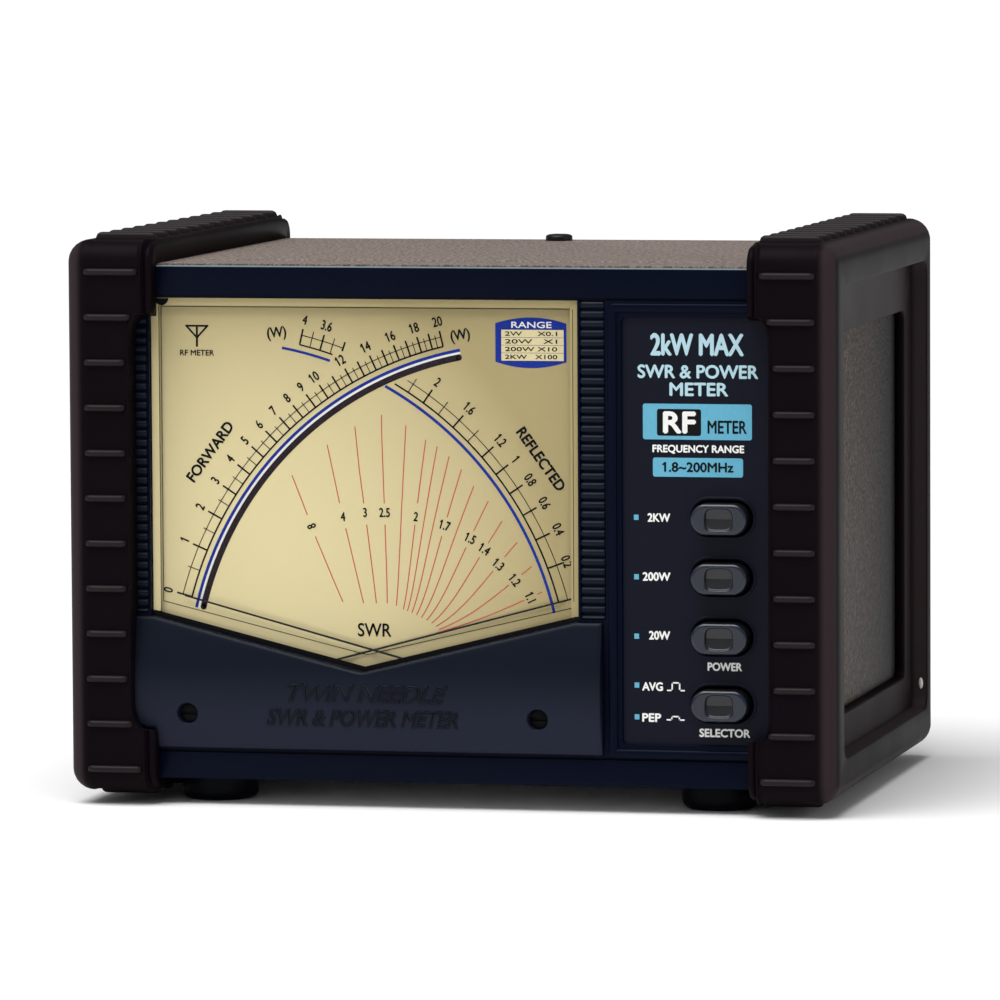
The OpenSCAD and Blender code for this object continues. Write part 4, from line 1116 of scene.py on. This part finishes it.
# %% Panel print
panel_front = box_mm("control_panel")[0][1] - face_y
button_boxes = {n: box_mm("button_" + n) for n in ("2kw", "200w", "20w", "selector")}
button_x = (button_boxes["2kw"][0][0] + button_boxes["2kw"][1][0]) / 2
row_z = {n: (ends[0][2] + ends[1][2]) / 2 for n, ends in button_boxes.items()}
panel_pale = [word("2kW MAX", (52.6, 98.8), 4.3, width=19.6, bold=0.03),
              word("SWR & POWER", (52.75, 93.15), 2.6, width=25.5, bold=0.03),
              word("METER", (52.95, 89.45), 2.6, width=12.3, bold=0.03)]
panel_white = [word("FREQUENCY RANGE", (52.8, 77.0), 1.45, width=19.4, bold=0.035),
               word("2KW", (44.35, row_z["2kw"]), 1.65, width=4.7, bold=0.035),
               word("200W", (43.8, row_z["200w"] + 0.1), 1.65, width=5.8, bold=0.035),
               word("20W", (44.4, row_z["20w"] + 0.25), 1.65, width=4.4, bold=0.035),
               word("POWER", (58.3, 31.35), 1.6, width=7.2, bold=0.035),
               word("AVG", (42.85, 26.95), 1.65, width=4.3, bold=0.035),
               word("PEP", (42.65, 20.4), 1.65, width=3.9, bold=0.035),
               word("SELECTOR", (58.25, 17.4), 1.6, width=10.7, bold=0.035),
               word("RF", (48.8, 82.5), 4.2, width=6.6, bold=0.035)]
for base, height, left in ((26.2, 1.6, 46.1), (20.0, 0.7, 46.0)):
    flat = [(left, base), (left + 0.95, base), (left + 0.95, base + height), (left + 2.55, base + height),
            (left + 2.55, base), (left + 3.5, base)]
    panel_white += strokes(flat, 0.3)
panel_sky = [label_box(41.0, 78.9, 64.2, 86.4), label_box(43.1, 71.1, 62.3, 75.1)]
mark_z = [row_z["2kw"], row_z["200w"], row_z["20w"], 27.2, 20.5]
panel_sky += [block(39.0, z - 0.55, 40.0, z + 0.55) for z in mark_z]
panel_dark = [label_box(44.0, 79.7, 53.4, 85.3), word("METER", (58.95, 81.6), 2.6, width=8.2, bold=0.02),
              word("1.8~200MHz", (52.7, 73.15), 1.9, width=15.0, bold=0.03)]
layers = [("panel_sky", panel_sky, 0.02, sky_ink), ("panel_dark", panel_dark, 0.04, black_ink),
          ("panel_pale", panel_pale, 0.04, pale_ink), ("panel_white", panel_white, 0.06, white_ink)]
for name, parts, lift, paint in layers:
    printed(name, parts, panel_front - lift, paint)

# %% [markdown]
# ## Push buttons
# A cap is a stadium with a rounded edge and a finger scoop: two flats that meet in a crease across
# the middle. Rings shrink from the edge to the centre line, and the scoop is a depth added to them.

# %% Buttons
def button_cap(name, z):
    """Rings of a stadium: skirt, quarter-round edge, then the face with its scoop. The scoop is 1.1 mm
    deep at the crease and about 0.3 mm near its upper and lower rims."""
    w, h = 12.2, 6.6
    rect = np.array([button_x - w / 2, z - h / 2, button_x + w / 2, z + h / 2])
    front = -3.2
    soft = 0.75
    turns = np.linspace(0, math.pi / 2, 7)
    edge = [(soft * (1 - math.cos(a)), front + soft * (1 - math.sin(a))) for a in turns]
    profile = [(0, 2.2), (0, 0.5)] + edge + [(i, front) for i in np.linspace(soft + 0.1, 3.28, 26)]
    rings = []
    for inset, depth in profile:
        ring = around(rect + inset * INWARD, h / 2 - inset - 0.005, (2, 58), 15)
        dx, dz = np.abs(ring[:, 0] - button_x), np.abs(ring[:, 1] - z)
        reach = ((dx / 3.1) ** 4 + (dz / 2.5) ** 4) ** 0.25
        scoop = step(reach, 1.0, 0.86) * (0.3 + 0.8 * (1 - dz / 2.6))
        scoop = np.where(depth == front, scoop, 0)
        rings.append(np.column_stack([ring[:, 0], face_y + depth + scoop, ring[:, 1]]))
    points = np.array(rings)
    rows, columns = points.shape[:2]
    faces = grid_faces(rows, columns, loop_columns=True).tolist() + [list(range(columns))[::-1]]
    piece("cap_" + name, points.reshape(-1, 3), faces, button_plastic, body=name + "_button",
          instead_of=["button_" + name])
    well = rect + np.array([-0.5, -0.5, 0.5, 0.5])
    rim("well_" + name, well, h / 2 + 0.5,
        [(-0.75, 0.85), (-0.72, 0.72), (-0.6, 0.65), (-0.35, 0.62), (-0.12, 0.66), (0, 0.8), (0, 1.9),
         (-0.4, 1.9)],
        panel_plastic, corner=14)


for name, z in row_z.items():
    button_cap(name, z)
print("button rows at", {n: round(float(z), 1) for n, z in row_z.items()})

# %% [markdown]
# ## Moulded lettering on the apron
# The words on the apron are part of the moulding: thin raised outlines of slanted capitals. A text
# curve can carry a round bead along its outline instead of a filling. Every point of the bead is
# pushed forward by the apron's own depth there, so the letters follow the barrel.

# %% Raised words
def raised(text, at, height, width, slant=0.35, bead=0.05):
    """Hollow letters laid on the apron: each point keeps its place and stands forward by the apron's
    own depth there plus the bead's height."""
    points, faces = raw_letters(text, slant, bead)
    middle = (points.max(0) + points.min(0)) / 2
    points = (points - [middle[0], CAPITAL / 2, 0]) * height / CAPITAL
    x = at[0] + points[:, 0] * width / np.ptp(points[:, 0])
    z = at[1] + points[:, 1]
    return np.column_stack([x, face_y - apron_depth(x, z) - points[:, 2], z]), faces


points, faces = joined([raised("TWIN NEEDLE", (meter_x + 1.5, 24.7), 3.3, 34.9),
                        raised("SWR & POWER METER", (meter_x + 0.1, 19.4), 3.3, 41.9)])
piece("apron_words", points, faces, letter_plastic, closed=False)

# %% [markdown]
# ## Metals, glass and boards
# The rest of the nodes keep their own shape. Each slot of the record gets a finish of its kind:
# turned metal shows fine rings of noise, plated sheet is nearly a mirror, boards are glossy green.

# %% Metals, glass and boards
def metal(name, base, roughness, grain=0.15, metallic=1.0):
    """Plated or turned metal, with streaks in its gloss and broad patches in its colour."""
    f = Finish(name, Metallic=metallic)
    streak = f.noise(grain, 3, 0.6)
    broad = f.noise(9, 2)
    f.feed("Base Color", f.blend(broad, [c * 0.88 for c in base], [min(c * 1.08, 1) for c in base]))
    f.feed("Roughness", streak * 0.12 + broad * 0.08 + (roughness - 0.1))
    f.bump(streak, 0.006, 0.4)
    return f.material


def clear(name, tint, alpha, roughness):
    """Clear plastic or glass with a faint smear."""
    f = Finish(name, Alpha=alpha, IOR=1.49, **{"Specular IOR Level": 0.15})
    smear = f.noise(20, 2)
    f.feed("Base Color", f.blend(smear, [c * 0.97 for c in tint], tint))
    f.feed("Roughness", smear * 0.03 + roughness)
    return f.material


steel = metal("plated_steel", (0.55, 0.55, 0.56), 0.3)
nickel = metal("nickel_plate", (0.66, 0.64, 0.60), 0.2)
brass = metal("brass", (0.75, 0.55, 0.25), 0.28)
tin = metal("tin_plate", (0.70, 0.71, 0.72), 0.35, 0.6)
enamel_wire = metal("enamel_wire", (0.55, 0.22, 0.09), 0.3, 0.12)
black_screw = metal("black_screw", (0.012, 0.012, 0.014), 0.4, 0.2, 0.6)
board_green = moulded("board_green", (0.02, 0.12, 0.05), 0.3)
component_blue = moulded("component_blue", (0.02, 0.03, 0.15), 0.35)
window_clear = clear("window_clear", (0.02, 0.02, 0.03), 0.03, 0.03)
lamp_clear = clear("lamp_clear", (1.0, 0.95, 0.8), 0.35, 0.05)
finishes = {"bumper_rubber": bumper_rubber, "cover_steel": cover_paint, "bezel_plastic": bezel_plastic,
            "apron_plastic": apron_plastic, "window": window_clear, "dial_card": dial_card,
            "housing_plastic": housing_plastic, "board_green": board_green, "component_blue": component_blue,
            "lamp_glass": lamp_clear, "brass": brass, "steel": steel, "copper_coil": enamel_wire,
            "needle_black": needle_black, "panel_print": panel_plastic, "button_plastic": button_plastic,
            "plunger_plastic": plunger_plastic, "switch_black": switch_plastic, "tin_plate": tin,
            "nickel": nickel, "insulator": insulator_plastic, "screw_black": black_screw,
            "foot_rubber": foot_rubber}
for entry in frame["record"]["subparts"]:
    node = frame["nodes"][entry["node"]]
    node.data.materials.clear()
    node.data.materials.append(finishes[entry["material_slot"]])
print("finishes:", len(finishes))

# %% [markdown]
# ## Screw heads
# A pan head is a disc whose rim rounds over, with a cross pressed into its crown. On a polar grid the
# cross is simply a depth that depends on the distance from its two arms.

# %% Screw heads
def pan_head(at, axis, radius, height, cross=0.6):
    """Head centred on a point, its crown towards the axis. Height over radius is a flattened dome:
    h times the fourth root of 1 - (r / R) to the fourth."""
    t = np.concatenate([np.linspace(0, 0.75, 12), 1 - np.array([0.18, 0.1, 0.05, 0.02, 0.005, 0])])
    a = np.linspace(0, 2 * math.pi, 33)[:-1]
    r, angle = np.meshgrid(t * radius, a, indexing="ij")
    u, v = r * np.cos(angle), r * np.sin(angle)
    w = height * (0.25 + 0.75 * (1 - (r / radius) ** 4) ** 0.25)
    arm = np.minimum(np.abs(u), np.abs(v))
    w = w - cross * height * step(arm, 0.2 * radius, 0.11 * radius) * step(r, 0.66 * radius, 0.5 * radius)
    ring = np.stack([radius * np.cos(a), radius * np.sin(a), np.zeros(len(a))], 1)
    local = np.concatenate([np.stack([u, v, w], -1).reshape(-1, 3), ring])
    axis = np.array(axis, float)
    side = np.cross(axis, [0.0, 0.0, 1.0] if abs(axis[2]) < 0.9 else [1.0, 0.0, 0.0])
    up = np.cross(side, axis)
    points = np.array(at) + local[:, :1] * side + local[:, 1:2] * up + local[:, 2:] * axis
    faces = grid_faces(len(t) + 1, len(a), loop_columns=True).tolist()
    return points, faces + [list(range(len(t) * len(a), len(points)))]


def heads(name, places, axis, radius, height, finish, node):
    """One piece with a head at each place, shown instead of a node of screws."""
    points, faces = joined([pan_head(p, axis, radius, height) for p in places])
    piece(name, points, faces, finish, instead_of=[node])


case_y = face_y + CASE_REAR
BOTH = (-1, 1)
UP, DOWN, BACK = (0, 0, 1), (0, 0, -1), (0, 1, 0)
cover_places = [(0, case_y - 5, cover_high[2])]
case_places = [(s * 60, face_y + y, cover_low[2]) for s in BOTH for y in (35, 84)]
right_places = ((73, case_y + 3, 22.3), (73, case_y + 3, 99.1), (58, case_y, 14))
rear_places = [(s * x, y, z) for s in BOTH for x, y, z in right_places]
heads("cover_screw_head", cover_places, UP, 3.0, 1.5, black_screw, "cover_screw")
heads("case_screw_heads", case_places, DOWN, 3.0, 1.5, black_screw, "case_screws")
heads("rear_screw_heads", rear_places, BACK, 3.0, 1.5, black_screw, "rear_screws")

# %% [markdown]
# ## Small things on the case
# A shallow bead crosses the cover behind its front edge, where the two halves of the fold meet. Each
# bumper has a small oval nib in its window, coloured pale as a painted highlight for the glint it
# shows. Both are half ellipsoids with different long axes.

# %% Bead and glint nibs
def half_egg(at, radii, rows=9, columns=24):
    """Upper half of an ellipsoid, its rim carried a little below the surface it sits on."""
    a = np.linspace(0, 2 * math.pi, columns + 1)[:-1]
    t = np.concatenate([np.linspace(0.02, math.pi / 2, rows), [math.pi / 2]])
    x = np.sin(t)[:, None] * np.cos(a)
    y = np.sin(t)[:, None] * np.sin(a)
    z = np.repeat(np.cos(t)[:, None], columns, 1)
    z[-1] = -0.5
    points = np.stack([x, y, z], -1).reshape(-1, 3) * radii + at
    faces = grid_faces(len(t), columns, loop_columns=True).tolist()
    return points, faces + [list(range(columns)), list(range(len(points) - columns, len(points)))]


points, faces = half_egg(np.array([0, face_y + 17, cover_high[2]]), np.array([61.5, 0.55, 0.22]), 7, 64)
piece("cover_bead", points, faces, cover_paint)
for side_name, sign in (("left", -1), ("right", 1)):
    points, faces = half_egg(np.zeros(3), np.array([0.5, 1.25, 0.35]))
    turned = np.stack([points[:, 0], -points[:, 2], points[:, 1]], 1)
    points = turned + [sign * 81.4, face_y + step_rect[2], 17.2]
    # painted highlight: the nib is pale plastic, standing for the glint at the rear of the window
    piece(side_name + "_glint_nib", points, faces, plunger_plastic)

# %% [markdown]
# ## The back
# The two coaxial sockets are threaded. A thread is a sleeve whose radius is a triangle wave of the
# depth, shifted by one pitch per turn, so the ridge climbs as a helix.

# %% Threads and lettering at the back
THREAD_PITCH = 1.058
socket_low, socket_high = box_mm("transmitter_socket")
socket_x = (socket_low[0] + socket_high[0]) / 2
socket_z = (socket_low[2] + socket_high[2]) / 2
flange_back = case_y + 2.0


def thread(name, x):
    """Radius = 7.88 mm plus 0.2 times a triangle wave of (depth / pitch - turn)."""
    a = np.linspace(0, 2 * math.pi, 61)[:-1]
    depth = np.arange(0.3, socket_high[1] - flange_back - 0.4, THREAD_PITCH / 10)
    phase = (depth[:, None] / THREAD_PITCH - a[None, :] / (2 * math.pi)) % 1
    ends = np.clip(np.minimum(depth - depth[0], depth[-1] - depth) / 1.2, 0, 1)[:, None]
    r = 7.88 + 0.2 * (1 - np.abs(2 * phase - 1)) * ends
    r = np.concatenate([np.full((1, 60), 7.6), r, np.full((1, 60), 7.6)])
    depth = np.concatenate([depth[:1], depth, depth[-1:]])
    y = np.repeat(flange_back + depth[:, None], 60, 1)
    points = np.stack([x + r * np.cos(a), y, socket_z + r * np.sin(a)], -1)
    piece(name, points.reshape(-1, 3), grid_faces(len(depth), 60, loop_rows=True, loop_columns=True), nickel)


thread("transmitter_socket_thread", socket_x)
thread("antenna_socket_thread", -socket_x)
FLANGE_SCREW = 9.1
socket_places = [(s * socket_x + a * FLANGE_SCREW, flange_back, socket_z + b * FLANGE_SCREW)
                 for s in BOTH for a in BOTH for b in BOTH]
heads("socket_screw_heads", socket_places, BACK, 2.4, 1.4, nickel, "socket_screws")
jack_low, jack_high = box_mm("power_jack")
jack_x, jack_z = (jack_low[0] + jack_high[0]) / 2, (jack_low[2] + jack_high[2]) / 2
rear_words = [word("TRANSMITTER", (-socket_x, 60), 2.4, width=22, bold=0.02),
              word("ANTENNA", (socket_x, 60), 2.4, width=15, bold=0.02),
              word("LAMP 12V", (-jack_x, jack_z + 9), 2.0, width=11, bold=0.02)]
points, faces = joined(rear_words)
points = np.column_stack([-points[:, 0], case_y + 0.04 + points[:, 2], points[:, 1]])
piece("rear_words", points, faces, white_ink, smooth=False, closed=False)

# %% [markdown]
# ## Floor and light
# A seamless pale floor, a broad light overhead like an overcast sky, and a soft panel on each side,
# as in a small product studio.

# %% Floor, lights and surroundings
def floor(size):
    """Plain square that reaches the horizon."""
    paint = Finish("floor_paint", **{"Roughness": 0.9, "Specular IOR Level": 0.2})
    paint.feed("Base Color", paint.blend(paint.noise(900, 2), (0.89, 0.89, 0.89), (0.9, 0.9, 0.9)))
    corners = np.array([[-1, -1, 0], [1, -1, 0], [1, 1, 0], [-1, 1, 0]]) * size
    obj = piece("floor", corners, [[0, 1, 2, 3]], paint.material, closed=False)
    obj.parent = None


def aimed(name, kind, position, target, power, **settings):
    """A light at a point, aimed at another, both in millimetres."""
    data = bpy.data.lights.new(name, kind)
    data.energy = power
    for key, value in settings.items():
        setattr(data, key, value)
    light = bpy.data.objects.new(name, data)
    ahead = np.array(target, float) - np.array(position, float)
    light.location = (np.array(position) * MM).tolist()
    light.rotation_euler = Vector(ahead.tolist()).to_track_quat("-Z", "Y").to_euler()
    bpy.context.scene.collection.objects.link(light)


floor(60000)
aimed("sky_panel", "SUN", [-350, -800, 2300], [0, 0, 0], 3.3, angle=math.radians(50))
aimed("key", "AREA", [-900, -1100, 1100], [0, -60, 60], 4, size=1.2)
aimed("side", "AREA", [1300, -300, 500], [60, 0, 60], 2.5, size=0.7)
world = bpy.data.worlds.new("studio")
world.use_nodes = True
world.node_tree.nodes["Background"].inputs[0].default_value = (1, 1, 1, 1)
world.node_tree.nodes["Background"].inputs[1].default_value = 0.2
bpy.context.scene.world = world
bpy.context.scene.view_settings.view_transform = "Standard"
